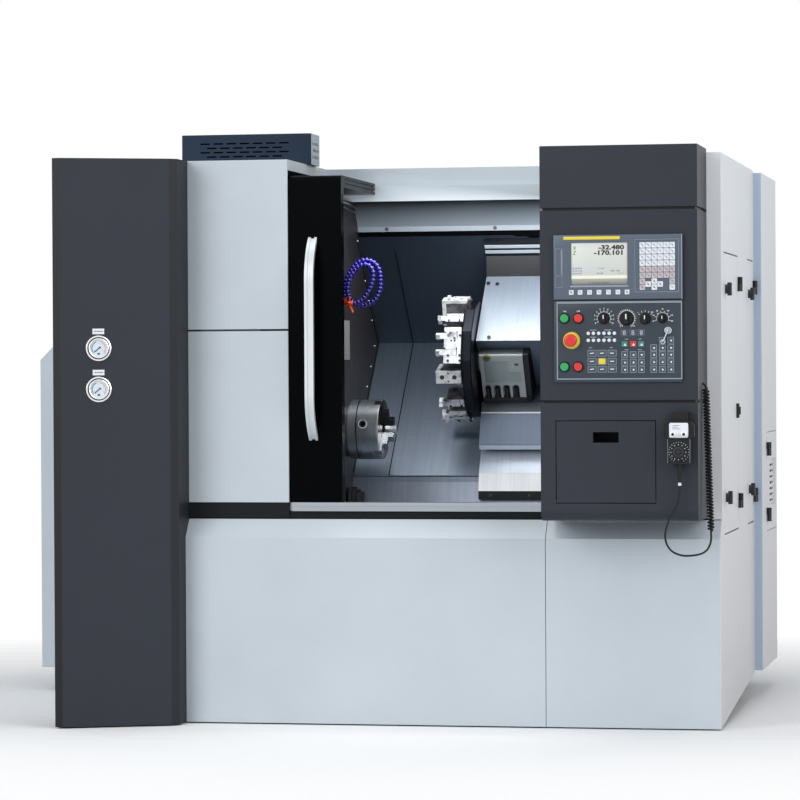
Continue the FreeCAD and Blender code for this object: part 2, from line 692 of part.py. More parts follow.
def hinge_ear(face, y, z, side):
    """Half of a block hinge: a block on one side of the joint line with half of the knuckle."""
    reach = 22.0
    low = z - HINGE_TALL / 2.0 if side < 0 else z + 0.3
    high = z - 0.3 if side < 0 else z + HINGE_TALL / 2.0
    knuckle = Part.makeCylinder(HINGE_PROUD / 2.0, high - low, Vector(face + HINGE_PROUD / 2.0, y, low))
    y0 = min(y, y + side * reach)
    y1 = max(y, y + side * reach)
    block = box(face, face + HINGE_PROUD - 5.0, y0, y1, low, high)
    if side < 0:
        hole = Part.makeCylinder(PIN_RADIUS + BEARING_GAP, HINGE_TALL, Vector(face + HINGE_PROUD / 2.0, y, z - HINGE_TALL))
        return fuse([knuckle, block]).cut(hole)
    pin = Part.makeCylinder(PIN_RADIUS, HINGE_TALL / 2.0 + 0.3, Vector(face + HINGE_PROUD / 2.0, y, z - HINGE_TALL / 2.0))
    return fuse([knuckle, block, pin])


def hinges():
    """Fixed halves of the block hinges of both side doors and the cabinet door."""
    halves = []
    for y, width in ((FRONT_DOOR_Y, FRONT_DOOR_WIDTH), (rear_door_y, REAR_DOOR_WIDTH)):
        y0, y1, z0, z1 = side_opening(y, width)
        for z in (z0 + HINGE_OFFSET, z1 - HINGE_OFFSET):
            halves.append(hinge_ear(right, y1, z, 1))
    for z in (CAB_DOOR_Z + CAB_HINGE_OFFSET, CAB_DOOR_Z + CAB_DOOR_HEIGHT - CAB_HINGE_OFFSET):
        halves.append(mirror_y(hinge_ear(cabinet_right, cab_door_y, z, 1), cab_door_y))
    return halves


def mirror_y(shape, y):
    return shape.mirror(Vector(0, y, 0), Vector(0, 1, 0))


def rear_cabinet():
    x0 = cabinet_right - CABINET_WIDTH
    body = box(x0, cabinet_right, body_depth, cabinet_rear, CABINET_BOTTOM, cabinet_top)
    body = fillet(body, 5.0, lambda mid, run: along(run, "z") and mid.x > cabinet_right - 1.0)
    pocket = box(cabinet_right - CABINET_POCKET, cabinet_right + 1.0, cab_door_y, cab_door_y + CAB_DOOR_WIDTH,
                 CAB_DOOR_Z, CAB_DOOR_Z + CAB_DOOR_HEIGHT)
    return body.cut(pocket)


def cabinet_door():
    """Leaf with a louvred recess, hinged at its front edge."""
    y0 = cab_door_y + LEAF_GAP
    y1 = cab_door_y + CAB_DOOR_WIDTH - LEAF_GAP
    z0 = CAB_DOOR_Z + LEAF_GAP
    z1 = CAB_DOOR_Z + CAB_DOOR_HEIGHT - LEAF_GAP
    leaf = box(cabinet_right - LEAF_THICK, cabinet_right, y0, y1, z0, z1)
    recess = box(cabinet_right - 8.0, cabinet_right + 1.0, y0 + 100.0, y1 - 22.0, z0 + 86.0, z1 - 96.0)
    louvres = []
    for index in range(7):
        z = z0 + 96.0 + index * 21.0
        louvres.append(box(cabinet_right - LEAF_THICK - 1.0, cabinet_right - 7.0, y0 + 112.0, y1 - 34.0, z, z + 8.0))
    leaf = leaf.cut(Part.makeCompound([recess] + louvres))
    ears = []
    for z in (CAB_DOOR_Z + CAB_HINGE_OFFSET, CAB_DOOR_Z + CAB_DOOR_HEIGHT - CAB_HINGE_OFFSET):
        ears.append(mirror_y(hinge_ear(cabinet_right, cab_door_y, z, -1), cab_door_y))
    return fuse([leaf] + ears)


# --- chamber -------------------------------------------------------------------------------
tray_rear = (SLANT_Y - 4.0, SLANT_Z - LIP_DROP)
tray_foot = (tray_rear[0] - PAN_LEAN, PAN_Z + PAN_RISE)


def chamber_left_wall():
    """Wall between headstock and chamber; its back edge follows the folded covers."""
    out = LINER_THICK
    top = slope(slant_length + out, back_length)
    outline = [(TRAY_FRONT_Y, PAN_Z - SHEET), (TRAY_FRONT_Y, rail_z),
               (RAIL_Y + LINTEL_INSET + SHEET, rail_z), (LINTEL_Y + SHEET, lintel_z), top,
               slope(slant_length + out, -out), slope(0.0, -out), (SLANT_Y, tray_rear[1] - SHEET),
               (tray_foot[0] + SHEET, tray_foot[1] - SHEET)]
    wall = prism_x(outline, wall_x - WALL_THICK, wall_x)
    hole = rod_x(SPINDLE_RADIUS + 32.0, wall_x - WALL_THICK - 1.0, wall_x + 1.0, AXIS_Y, AXIS_Z)
    band = box(wall_x, wall_x + SHEET, WALL_BAND_Y, RAIL_Y + 10.0, rail_z - WALL_BAND_LOW, rail_z - WALL_BAND_HIGH)
    band = band.common(prism_x(outline, wall_x, wall_x + SHEET))
    plate = box(wall_x, wall_x + SHEET, WALL_PLATE_Y, WALL_PLATE_Y + WALL_PLATE_WIDTH, WALL_PLATE_Z,
                WALL_PLATE_Z + WALL_PLATE_HEIGHT)
    return fuse([wall.cut(hole), band, plate])


def chamber_liner():
    """Fixed covers of the bed, the step and tray in front of them, and the right wall."""
    low = slope_box(wall_x, LINER_END, 0.0, slant_length, -LINER_THICK, 0.0)
    back = slope_box(wall_x, LINER_END, slant_length, slant_length + LINER_THICK, -LINER_THICK, back_length)
    line = [(TRAY_FRONT_Y, SILL_TOP - 1.0), (TRAY_FRONT_Y, PAN_Z), tray_foot, tray_rear,
            (SLANT_Y - 4.0, SLANT_Z - 2.0)]
    outline = folded(line[::-1], SHEET)
    tray = prism_x(outline, wall_x, chamber_right)
    front = box(wall_x, chamber_right, PLINTH_Y + PLINTH_DEPTH, TRAY_FRONT_Y, SILL_TOP - 4.0, SILL_TOP - 1.0)
    top = slope(slant_length + LINER_THICK, back_length)
    wall = prism_x([(TRAY_FRONT_Y, PAN_Z - SHEET), (TRAY_FRONT_Y, rail_z),
                    (RAIL_Y + LINTEL_INSET, rail_z), (LINTEL_Y, lintel_z), top,
                    slope(slant_length + LINER_THICK, -LINER_THICK), slope(0.0, -LINER_THICK),
                    (SLANT_Y, tray_rear[1] - SHEET), (tray_foot[0] + SHEET, tray_foot[1] - SHEET)],
                   chamber_right, chamber_right + SHEET)
    return [low, back, fuse([tray, front]), wall]


def headstock():
    """Cast housing: a foot on the slanted bed and a round barrel about the spindle."""
    x1 = wall_x - WALL_THICK - HEAD_GAP
    x0 = x1 - HEAD_LENGTH
    foot = prism_x([slope(-96.0, -BED_DROP), slope(236.0, -BED_DROP), slope(187.0, 190.0), slope(-112.0, 190.0)], x0, x1)
    barrel = rod_x(HEAD_RADIUS, x0, x1, AXIS_Y, AXIS_Z)
    nose = rod_x(SPINDLE_RADIUS + 28.0, x1 - 1.0, wall_x - 1.0, AXIS_Y, AXIS_Z)
    bore = rod_x(SPINDLE_RADIUS + BEARING_GAP, x0 - 1.0, wall_x, AXIS_Y, AXIS_Z)
    return fuse([foot, barrel, nose]).cut(bore)


# --- spindle, chuck and drive --------------------------------------------------------------
pulley_right = head_left - PULLEY_GAP
pulley_left = pulley_right - PULLEY_WIDTH
chuck_left = wall_x + 1.0
chuck_right = chuck_left + CHUCK_LENGTH
belt_run = math.hypot(AXIS_Y - MOTOR_Y, AXIS_Z - MOTOR_Z)


def spindle():
    """Hollow shaft with its front flange and the pulley at its left end."""
    shaft = rod_x(SPINDLE_RADIUS, pulley_left - 20.0, wall_x - 0.5, AXIS_Y, AXIS_Z)
    flange = rod_x(SPINDLE_RADIUS + 25.0, wall_x - 0.5, chuck_left, AXIS_Y, AXIS_Z)
    pulley = rod_x(PULLEY_RADIUS, pulley_left, pulley_right, AXIS_Y, AXIS_Z)
    rims = [rod_x(PULLEY_RADIUS + 9.0, x, x + 4.0, AXIS_Y, AXIS_Z) for x in (pulley_left - 4.0, pulley_right)]
    bore = rod_x(BORE_RADIUS, pulley_left - 21.0, chuck_left + 1.0, AXIS_Y, AXIS_Z)
    return fuse([shaft, flange, pulley] + rims).cut(bore)


def radial(shape, degrees):
    """Turn a piece that was drawn along +Y about the spindle axis."""
    shape.rotate(Vector(0, AXIS_Y, AXIS_Z), Vector(1, 0, 0), degrees)
    return shape


jaw_angles = [JAW_TURN + 120.0 * index for index in range(3)]


def chuck_body():
    """Drum with a narrower back, a groove, three key sockets and the jaws' slots in its face."""
    body = rod_x(CHUCK_RADIUS, chuck_left + CHUCK_BACK, chuck_right, AXIS_Y, AXIS_Z)
    rear = rod_x(CHUCK_BACK_RADIUS, chuck_left, chuck_left + CHUCK_BACK, AXIS_Y, AXIS_Z)
    x0 = chuck_left + GROOVE_AT
    ring = rod_x(CHUCK_RADIUS + 1.0, x0, x0 + GROOVE_WIDTH, AXIS_Y, AXIS_Z)
    ring = ring.cut(rod_x(CHUCK_RADIUS - CHUCK_GROOVE, x0 - 1.0, x0 + GROOVE_WIDTH + 1.0, AXIS_Y, AXIS_Z))
    cuts = [ring, rod_x(BORE_RADIUS, chuck_left - 1.0, chuck_right + 1.0, AXIS_Y, AXIS_Z)]
    bosses = []
    x = chuck_left + KEY_AT
    half = JAW_WIDTH / 2.0 + DOOR_CLEAR
    for degrees in jaw_angles:
        slot = box(chuck_right - JAW_BASE, chuck_right + 1.0, AXIS_Y, AXIS_Y + CHUCK_RADIUS + 20.0,
                   AXIS_Z - half, AXIS_Z + half)
        cuts.append(radial(slot, degrees))
        boss = rod_y(KEY_RADIUS, AXIS_Y + CHUCK_RADIUS - KEY_DEPTH, AXIS_Y + CHUCK_RADIUS + KEY_PROUD, x, AXIS_Z)
        bosses.append(radial(boss, degrees - KEY_TURN))
        key = box(x - KEY_SIZE / 2.0, x + KEY_SIZE / 2.0, AXIS_Y + CHUCK_RADIUS - KEY_DEPTH,
                  AXIS_Y + CHUCK_RADIUS + KEY_DEPTH, AXIS_Z - KEY_SIZE / 2.0, AXIS_Z + KEY_SIZE / 2.0)
        key.rotate(Vector(x, AXIS_Y, AXIS_Z), Vector(0, 1, 0), 45.0)
        cuts.append(radial(key, degrees - KEY_TURN))
        screw = rod_x(FACE_SCREW, chuck_right - FACE_SCREW, chuck_right + 1.0, AXIS_Y + FACE_SCREW_AT, AXIS_Z)
        cuts.append(radial(screw, degrees + 60.0))
    return fuse([body, rear] + bosses).cut(Part.makeCompound(cuts))


def chuck_jaw(degrees):
    """Stepped jaw, widest at the rim, in its slot in the chuck's face."""
    half = JAW_WIDTH / 2.0
    foot = box(chuck_right - JAW_BASE + DOOR_CLEAR, chuck_right + JAW_FOOT, AXIS_Y + 38.0, AXIS_Y + JAW_RIM,
               AXIS_Z - half, AXIS_Z + half)
    blocks = [foot]
    screws = []
    for step in range(3):
        outer = JAW_RIM - step * JAW_TREAD
        front = chuck_right + JAW_FOOT + step * JAW_STEP
        blocks.append(box(chuck_right + 1.0, front, AXIS_Y + JAW_INNER, AXIS_Y + outer, AXIS_Z - half, AXIS_Z + half))
        if step < 2:
            screws.append(rod_x(JAW_SCREW, front - JAW_SCREW, front + 1.0, AXIS_Y + outer - JAW_TREAD / 2.0, AXIS_Z))
    point = prism_x([(AXIS_Y + JAW_POINT, AXIS_Z - 3.0), (AXIS_Y + JAW_INNER + 1.0, AXIS_Z - half),
                     (AXIS_Y + JAW_INNER + 1.0, AXIS_Z + half), (AXIS_Y + JAW_POINT, AXIS_Z + 3.0)],
                    chuck_right + 1.0, chuck_right + JAW_FOOT + 2.0 * JAW_STEP)
    return radial(fuse(blocks + [point]).cut(Part.makeCompound(screws)), degrees)


def spindle_motor():
    x1 = pulley_left - 26.0
    x0 = x1 - MOTOR_LENGTH
    half = MOTOR_RADIUS
    frame = box(x0 + 60.0, x1 - 20.0, MOTOR_Y - half, MOTOR_Y + half, MOTOR_Z - half, MOTOR_Z + half)
    frame = fillet(frame, 28.0, lambda mid, run: along(run, "x"))
    cowl = rod_x(half - 8.0, x0, x0 + 61.0, MOTOR_Y, MOTOR_Z)
    bell = rod_x(half - 12.0, x1 - 21.0, x1, MOTOR_Y, MOTOR_Z)
    shaft = rod_x(19.0, x1 - 1.0, pulley_right, MOTOR_Y, MOTOR_Z)
    return fuse([frame, cowl, bell, shaft])


def motor_pulley():
    wheel = rod_x(MOTOR_PULLEY_RADIUS, pulley_left, pulley_right, MOTOR_Y, MOTOR_Z)
    rims = [rod_x(MOTOR_PULLEY_RADIUS + 9.0, x, x + 4.0, MOTOR_Y, MOTOR_Z) for x in (pulley_left - 4.0, pulley_right)]
    bore = rod_x(19.0 + BEARING_GAP, pulley_left - 5.0, pulley_right + 5.0, MOTOR_Y, MOTOR_Z)
    return fuse([wheel] + rims).cut(bore)


def drive_belt():
    """Flat loop round both pulleys, clear of them by the running gap."""
    gap = DOOR_CLEAR

    def loop(extra):
        big = PULLEY_RADIUS + gap + extra
        small = MOTOR_PULLEY_RADIUS + gap + extra
        tilt = math.atan2(MOTOR_Z - AXIS_Z, MOTOR_Y - AXIS_Y)
        spread = math.acos((big - small) / belt_run)
        corners = []
        for side in (1.0, -1.0):
            angle = tilt + side * spread
            corners.append((AXIS_Y + big * math.cos(angle), AXIS_Z + big * math.sin(angle)))
            corners.append((MOTOR_Y + small * math.cos(angle), MOTOR_Z + small * math.sin(angle)))
        quad = [corners[0], corners[1], corners[3], corners[2]]
        x0 = pulley_left + 4.0
        x1 = pulley_right - 4.0
        return fuse([prism_x(quad, x0, x1), rod_x(big, x0, x1, AXIS_Y, AXIS_Z), rod_x(small, x0, x1, MOTOR_Y, MOTOR_Z)])

    return loop(BELT_THICK).cut(loop(0.0))


# --- ways, saddle and slide ----------------------------------------------------------------
rail_high = slant_length - RAIL_FOLD_GAP - RAIL_WIDTH
rails_left = wall_x + 60.0
rails_right = chamber_right - 20.0
screw_n = -BED_DROP + 50.0


def z_rails():
    """Two guide rails on the bed and the bearing blocks of the ball screw."""
    pieces = []
    for s in (RAIL_LOW, rail_high):
        pieces.append(slope_box(rails_left, rails_right, s, s + RAIL_WIDTH, -BED_DROP, -BED_DROP + RAIL_TALL))
    y, z = slope(SCREW_S, screw_n)
    for x in (rails_left, rails_right - 40.0):
        block = slope_box(x, x + 40.0, SCREW_S - 40.0, SCREW_S + 40.0, -BED_DROP, screw_n + 40.0)
        pieces.append(block.cut(rod_x(SCREW_RADIUS - 4.0 + BEARING_GAP, x - 1.0, x + 41.0, y, z)))
    return pieces


def z_screw():
    y, z = slope(SCREW_S, screw_n)
    thread = rod_x(SCREW_RADIUS, rails_left + 42.0, rails_right - 42.0, y, z)
    ends = rod_x(SCREW_RADIUS - 4.0, rails_left, rails_right, y, z)
    return fuse([thread, ends])


def saddle():
    """Casting that straddles both rails, with the cross way on top and the nut for the screw."""
    top = LINER_THICK + 2.0 * SLIDE_GAP
    x1 = SADDLE_X + SADDLE_LENGTH
    low = -BED_DROP + 6.0
    body = slope_box(SADDLE_X, x1, 14.0, slant_length - 20.0, -BED_DROP + RAIL_TALL + DOOR_CLEAR, top)
    skirts = []
    grooves = []
    for s in (RAIL_LOW, rail_high):
        skirts.append(slope_box(SADDLE_X, x1, s - 26.0, s + RAIL_WIDTH + 26.0, low, -BED_DROP + RAIL_TALL + 1.0))
        grooves.append(slope_box(SADDLE_X - 1.0, x1 + 1.0, s - DOOR_CLEAR, s + RAIL_WIDTH + DOOR_CLEAR,
                                 low - 1.0, -BED_DROP + RAIL_TALL + DOOR_CLEAR))
    y, z = slope(SCREW_S, screw_n)
    nut = rod_x(34.0, SADDLE_X, x1, y, z)
    way_x = SADDLE_X + (SADDLE_LENGTH - WAY_WIDTH) / 2.0
    way = slope_box(way_x, way_x + WAY_WIDTH, 14.0, slant_length - 30.0, top - 1.0, WAY_TOP)
    hole = rod_x(SCREW_RADIUS + BEARING_GAP, SADDLE_X - 1.0, x1 + 1.0, y, z)
    return fuse([body, nut, way] + skirts).cut(Part.makeCompound(grooves + [hole]))


way_left = SADDLE_X + (SADDLE_LENGTH - WAY_WIDTH) / 2.0
cover_right = COVER_X + COVER_LENGTH
cover_n = LINER_THICK + 2.0 * SLIDE_GAP


def way_cover_mid():
    """Middle telescopic cover: lies on the fixed one and under the saddle's."""
    x1 = MID_X + MID_LENGTH
    low = slope_box(MID_X, x1, 1.0, slant_length - SLIDE_GAP, SLIDE_GAP, SLIDE_GAP + LINER_THICK)
    back = slope_box(MID_X, x1, slant_length - SLIDE_GAP - LINER_THICK, slant_length - SLIDE_GAP,
                     SLIDE_GAP + LINER_THICK, back_length - 4.0)
    return fuse([low, back])


def saddle_cover():
    """Skirt with a raised plateau and a front over the pan; the hood over the turret and its wall."""
    x0 = COVER_X
    x1 = cover_right
    s_back = slant_length - cover_n
    t = LINER_THICK
    plateau_high = PLATEAU_LOW + PLATEAU_LENGTH
    line = [slope(s_back, cover_n), slope(plateau_high, cover_n), slope(plateau_high, PLATEAU_HEIGHT),
            slope(PLATEAU_LOW, PLATEAU_HEIGHT), slope(SKIRT_LOW, SKIRT_HEIGHT),
            (SLANT_Y - SKIRT_FRONT, SLANT_Z - SKIRT_BEND), (SLANT_Y - SKIRT_FRONT, SLANT_Z - SKIRT_BOTTOM)]
    skirt = prism_x(folded(line, -t), x0, x1)
    slot = slope_box(way_left - 3.0, way_left + WAY_WIDTH + 3.0, -9.0, slant_length - 20.0, 0.0, WAY_TOP)
    skirt = skirt.cut(slot)
    back = slope_box(x0, x1, s_back - t, s_back, cover_n + t, back_length - 8.0)
    line = [(s_back - t - 1.0, HOOD_HEIGHT + HOOD_FOLD - 1.0), (s_back - t - HOOD_FOLD, HOOD_HEIGHT),
            (hood_low, HOOD_HEIGHT), (hood_low, HOOD_HEIGHT - HOOD_LIP)]
    hood = prism_x([slope(s, n) for s, n in folded(line, t)], x0, x1)
    wall_left = turret_left + TURRET_BODY + SEAL_GAP + SEAL_WIDTH + HOOD_CLEAR
    wall = slope_box(wall_left, x1, hood_low, hood_low + t, SLIDE_TOP + HOOD_CLEAR, HOOD_HEIGHT - t)
    end = slope_box(x0, x0 + t, s_back - HOOD_END_WIDTH, s_back - t, cover_n + t, HOOD_HEIGHT - t)
    ridges = []
    for drop in RIDGE_DROPS:
        n = back_length - drop
        ridges.append(slope_box(x0, x1, s_back - t - RIDGE_PROUD, s_back - t, n, n + RIDGE_WIDTH))
    return [skirt, fuse([back, hood, wall, end] + ridges)]


def cross_slide():
    """Slide on the cross way, with the folded cover plate it pushes over the saddle's skirt."""
    body = slope_box(SLIDE_X, SLIDE_X + SLIDE_WIDTH, slide_low, slide_low + SLIDE_LENGTH, SLIDE_BASE, SLIDE_TOP)
    groove = slope_box(way_left - DOOR_CLEAR, way_left + WAY_WIDTH + DOOR_CLEAR, slide_low - 1.0,
                       slide_low + SLIDE_LENGTH + 1.0, SLIDE_BASE - 1.0, WAY_TOP + DOOR_CLEAR)
    line = [(slide_low + 1.0, APRON_TOP), (APRON_BEND, APRON_HEIGHT), (APRON_LOW, APRON_FOOT),
            (APRON_LOW, APRON_FOOT - APRON_LIP)]
    apron = prism_x([slope(s, n) for s, n in folded(line, -LINER_THICK)], COVER_X, cover_right)
    return fuse([body.cut(groove), apron])


# --- turret --------------------------------------------------------------------------------
turret_y, turret_z = slope(turret_s, TURRET_N)
disc_right = DISC_X + DISC_THICK
turret_left = disc_right + TURRET_GAP


def face_point(height, proud):
    """A point up the leaning front face and off it, as (Y, Z)."""
    length = math.hypot(FACE_LEAN, FACE_HIGH - FACE_LOW)
    along_s = FACE_LEAN / length
    along_n = (FACE_HIGH - FACE_LOW) / length
    return slope(slide_low + height * along_s - proud * along_n, FACE_LOW + height * along_n + proud * along_s)


def face_box(field, low, high):
    """A block on the front face over a field (left, right, bottom, top)."""
    x0, x1, h0, h1 = field
    outline = [face_point(h0, low), face_point(h1, low), face_point(h1, high), face_point(h0, high)]
    return prism_x(outline, turret_left + x0, turret_left + x1)


def face_rod(radius, across, height, low, high):
    y0, z0 = face_point(height, low)
    y1, z1 = face_point(height, high)
    x = turret_left + across
    return rod(radius, Vector(x, y0, z0), Vector(x, y1, z1))


def turret_housing():
    """Cast housing on the slide: leaning front with sunk fields, four fittings in niches, a seal."""
    x1 = turret_left + TURRET_BODY
    rear = slide_low + FACE_LEAN + HOUSING_LENGTH
    body = prism_x([slope(slide_low, FACE_LOW), slope(slide_low + FACE_LEAN, FACE_HIGH), slope(rear, FACE_HIGH),
                    slope(rear, FACE_LOW)], turret_left, x1)
    body = fillet(body, FACE_ROUND, lambda mid, run: along(run, "x") and mid.y < face_point(150.0, 0.0)[0])
    seal_right = x1 + SEAL_GAP + SEAL_WIDTH
    seal_front = slide_low + SEAL_BACK
    seal_rear = rear - SEAL_BACK
    seal_top = FACE_HIGH - SEAL_BACK
    seal = prism_x([slope(seal_front, SLIDE_TOP), slope(seal_front + FACE_LEAN, seal_top), slope(seal_rear, seal_top),
                    slope(seal_rear, SLIDE_TOP)], x1 - 1.0, seal_right)
    flange = slope_box(turret_left, seal_right, slide_low - FLANGE_EDGE, rear + FLANGE_EDGE, SLIDE_TOP, FACE_LOW)
    hub = rod_x(HUB_RADIUS, disc_right + DOOR_CLEAR, turret_left + 1.0, turret_y, turret_z)
    shaft = rod_x(SHAFT_RADIUS, DISC_X + 4.0, turret_left + 1.0, turret_y, turret_z)
    cuts = [face_box(field, -PANE_DEPTH, 1.0) for field in PANE_FIELDS]
    cuts.append(face_box(SLOT_FIELD, -PANE_DEPTH, 1.0))
    fittings = []
    for index in range(FITTINGS):
        x = FITTING_FIRST + index * FITTING_PITCH
        niche = face_box((x - NICHE_HALF, x + NICHE_HALF, -1.0, NICHE_HEIGHT - NICHE_HALF), -NICHE_DEPTH, 1.0)
        cuts += [niche, face_rod(NICHE_HALF, x, NICHE_HEIGHT - NICHE_HALF, -NICHE_DEPTH, 1.0)]
        y0, z0 = face_point(-2.0, -FITTING_RADIUS / 2.0)
        y1, z1 = face_point(NICHE_HEIGHT - NICHE_HALF, -FITTING_RADIUS / 2.0)
        fittings.append(rod(FITTING_RADIUS, Vector(turret_left + x, y0, z0), Vector(turret_left + x, y1, z1)))
    plug = face_rod(PLUG_RADIUS, PLUG_AT[0], PLUG_AT[1], -1.0, PLUG_PROUD)
    dimple = face_rod(PLUG_RADIUS / 2.0, PLUG_AT[0], PLUG_AT[1], -PLUG_PROUD, PLUG_PROUD + 1.0)
    whole = body.cut(Part.makeCompound(cuts))
    for piece in [seal, flange, hub, shaft, plug] + fittings:
        whole = whole.fuse(piece)
    return whole.cut(dimple)


def around_turret(shape, degrees):
    shape.rotate(Vector(0, turret_y, turret_z), Vector(1, 0, 0), degrees)
    return shape


def turret_disc():
    """Many-sided disc, one flat for each station, with a bore on the housing's shaft."""
    corners = []
    for index in range(STATIONS):
        angle = math.radians(STATION_TURN + (index + 0.5) * 360.0 / STATIONS)
        corners.append((turret_y + DISC_RADIUS * math.cos(angle), turret_z + DISC_RADIUS * math.sin(angle)))
    disc = prism_x(corners, DISC_X, disc_right)
    rim = DISC_RADIUS * math.cos(math.pi / STATIONS)

    def at_rim(mid, run):
        return not along(run, "x") and math.hypot(mid.y - turret_y, mid.z - turret_z) > rim - 1.0

    edges = []
    for edge in disc.Edges:
        run = edge.Vertexes[-1].Point - edge.Vertexes[0].Point
        if at_rim(edge.CenterOfMass, run.normalize()):
            edges.append(edge)
    disc = disc.makeChamfer(DISC_EDGE, edges)
    bore = rod_x(SHAFT_RADIUS + BEARING_GAP, DISC_X - 1.0, disc_right + 1.0, turret_y, turret_z)
    cap = rod_x(CAP_RADIUS, DISC_X - CAP_PROUD, DISC_X + 1.0, turret_y, turret_z)
    return fuse([disc, cap]).cut(bore)


def boring_block():
    """Square block with a socket along the axis, clamp screws on its side and sunk screws outside."""
    x0 = DISC_X - TOOL_LENGTH
    block = box(x0, DISC_X, turret_y + BORING_ROOT, turret_y + BORING_REACH, turret_z - BORING_HALF,
                turret_z + BORING_HALF)
    cuts = [rod_x(BORING_BORE, x0 - 1.0, DISC_X - 6.0, turret_y + BORING_BORE_AT, turret_z)]
    for x in (x0 + SINK_INSET, DISC_X - SINK_INSET):
        cuts.append(rod_y(SINK_RADIUS, turret_y + BORING_REACH - SINK_DEPTH, turret_y + BORING_REACH + 1.0, x, turret_z))
        for side in (-1.0, 1.0):
            deep = turret_z + side * (BORING_HALF - SINK_DEPTH / 3.0)
            out = turret_z + side * (BORING_HALF + 1.0)
            y = turret_y + BORING_REACH - SINK_INSET
            cuts.append(rod(SINK_RADIUS, Vector(x, y, deep), Vector(x, y, out)))
    return block.cut(Part.makeCompound(cuts))


def turning_tool(z, reach, back):
    """Square shank along the axis whose tip points outwards at its left end."""
    x0 = DISC_X - TOOL_LENGTH
    y1 = turret_y + reach
    shank = box(x0, DISC_X - back, y1 - SHANK, y1, z, z + SHANK)
    tip = prism_x([(y1 - 1.0, z + 3.0), (y1 + SHANK_TIP, z + SHANK / 2.0), (y1 - 1.0, z + SHANK)], x0, x0 + SHANK_TIP)
    return fuse([shank, tip])


def turning_block(foot, broad, tools):
    """Block that widens outwards, with a tool in an open channel for each place given."""
    x0 = DISC_X - TURNING_BACK
    y0 = turret_y + TURNING_ROOT
    y1 = turret_y + TURNING_REACH
    block = prism_x([(y0, turret_z - foot), (y1, turret_z - broad), (y1, turret_z + broad), (y0, turret_z + foot)],
                    x0, DISC_X)
    pieces = []
    for place in tools:
        z = turret_z + place
        channel = box(x0 - 1.0, DISC_X - 12.0, y1 - SHANK + 4.0, y1 + 1.0, z - 6.0, z + SHANK)
        block = block.cut(channel)
        pieces.append(turning_tool(z, TURNING_REACH + 1.0, 14.0))
        wedge = box(x0 + 6.0, DISC_X - 16.0, y1 - SHANK + 4.0, y1 + 2.0, z - 6.0, z)
        pieces.append(wedge)
    return fuse([block] + pieces)


def tool_holders():
    """Blocks round the disc's face: boring, narrow turning and wide turning ones in turn."""
    holders = []
    for index in range(STATIONS):
        if index % 3 == 0:
            piece = boring_block()
        elif index % 3 == 1:
            piece = turning_block(TURNING_SLIM, TURNING_SLIM, [-SHANK / 2.0 + 3.0])
        else:
            piece = turning_block(TURNING_FOOT, TURNING_BROAD, [14.0, -42.0])
        holders.append(around_turret(piece, STATION_TURN + index * 360.0 / STATIONS))
    return holders


# --- door ----------------------------------------------------------------------------------
door_left = DOOR_RIGHT - DOOR_WIDTH
door_bottom = SILL_TOP + DOOR_CLEAR
door_roof_rear = RAIL_Y - DOOR_CLEAR


def door_frame():
    """L-shaped door: a front leaf and a roof leaf, with a window and a ribbed right edge."""
    y1 = DOOR_Y + DOOR_THICK
    outline = [(DOOR_Y, door_bottom), (y1, door_bottom), (y1, door_top - DOOR_ROOF_THICK),
               (door_roof_rear, door_top - DOOR_ROOF_THICK), (door_roof_rear, door_top), (DOOR_Y, door_top)]
    body = prism_x(outline, door_left, DOOR_RIGHT)
    body = fillet(body, 12.0, lambda mid, run: along(run, "x") and mid.y < DOOR_Y + 1.0 and mid.z > door_top - 1.0)
    x0 = door_left + WINDOW_FROM_LEFT
    hole = box(x0, x0 + WINDOW_WIDTH, DOOR_Y - 1.0, y1 + 1.0, WINDOW_Z, WINDOW_Z + WINDOW_HEIGHT)
    grooves = []
    for y in (DOOR_Y + 9.0, DOOR_Y + 25.0):
        grooves.append(box(DOOR_RIGHT - 5.0, DOOR_RIGHT + 1.0, y, y + 7.0, door_bottom - 1.0, door_top - 60.0))
    for z in (door_top - 29.0, door_top - 15.0):
        grooves.append(box(DOOR_RIGHT - 5.0, DOOR_RIGHT + 1.0, DOOR_Y + 60.0, door_roof_rear + 1.0, z, z + 6.0))
    return body.cut(Part.makeCompound([hole] + grooves))


def door_window():
    x0 = door_left + WINDOW_FROM_LEFT
    y = DOOR_Y + (DOOR_THICK - WINDOW_THICK) / 2.0
    return box(x0, x0 + WINDOW_WIDTH, y, y + WINDOW_THICK, WINDOW_Z, WINDOW_Z + WINDOW_HEIGHT)


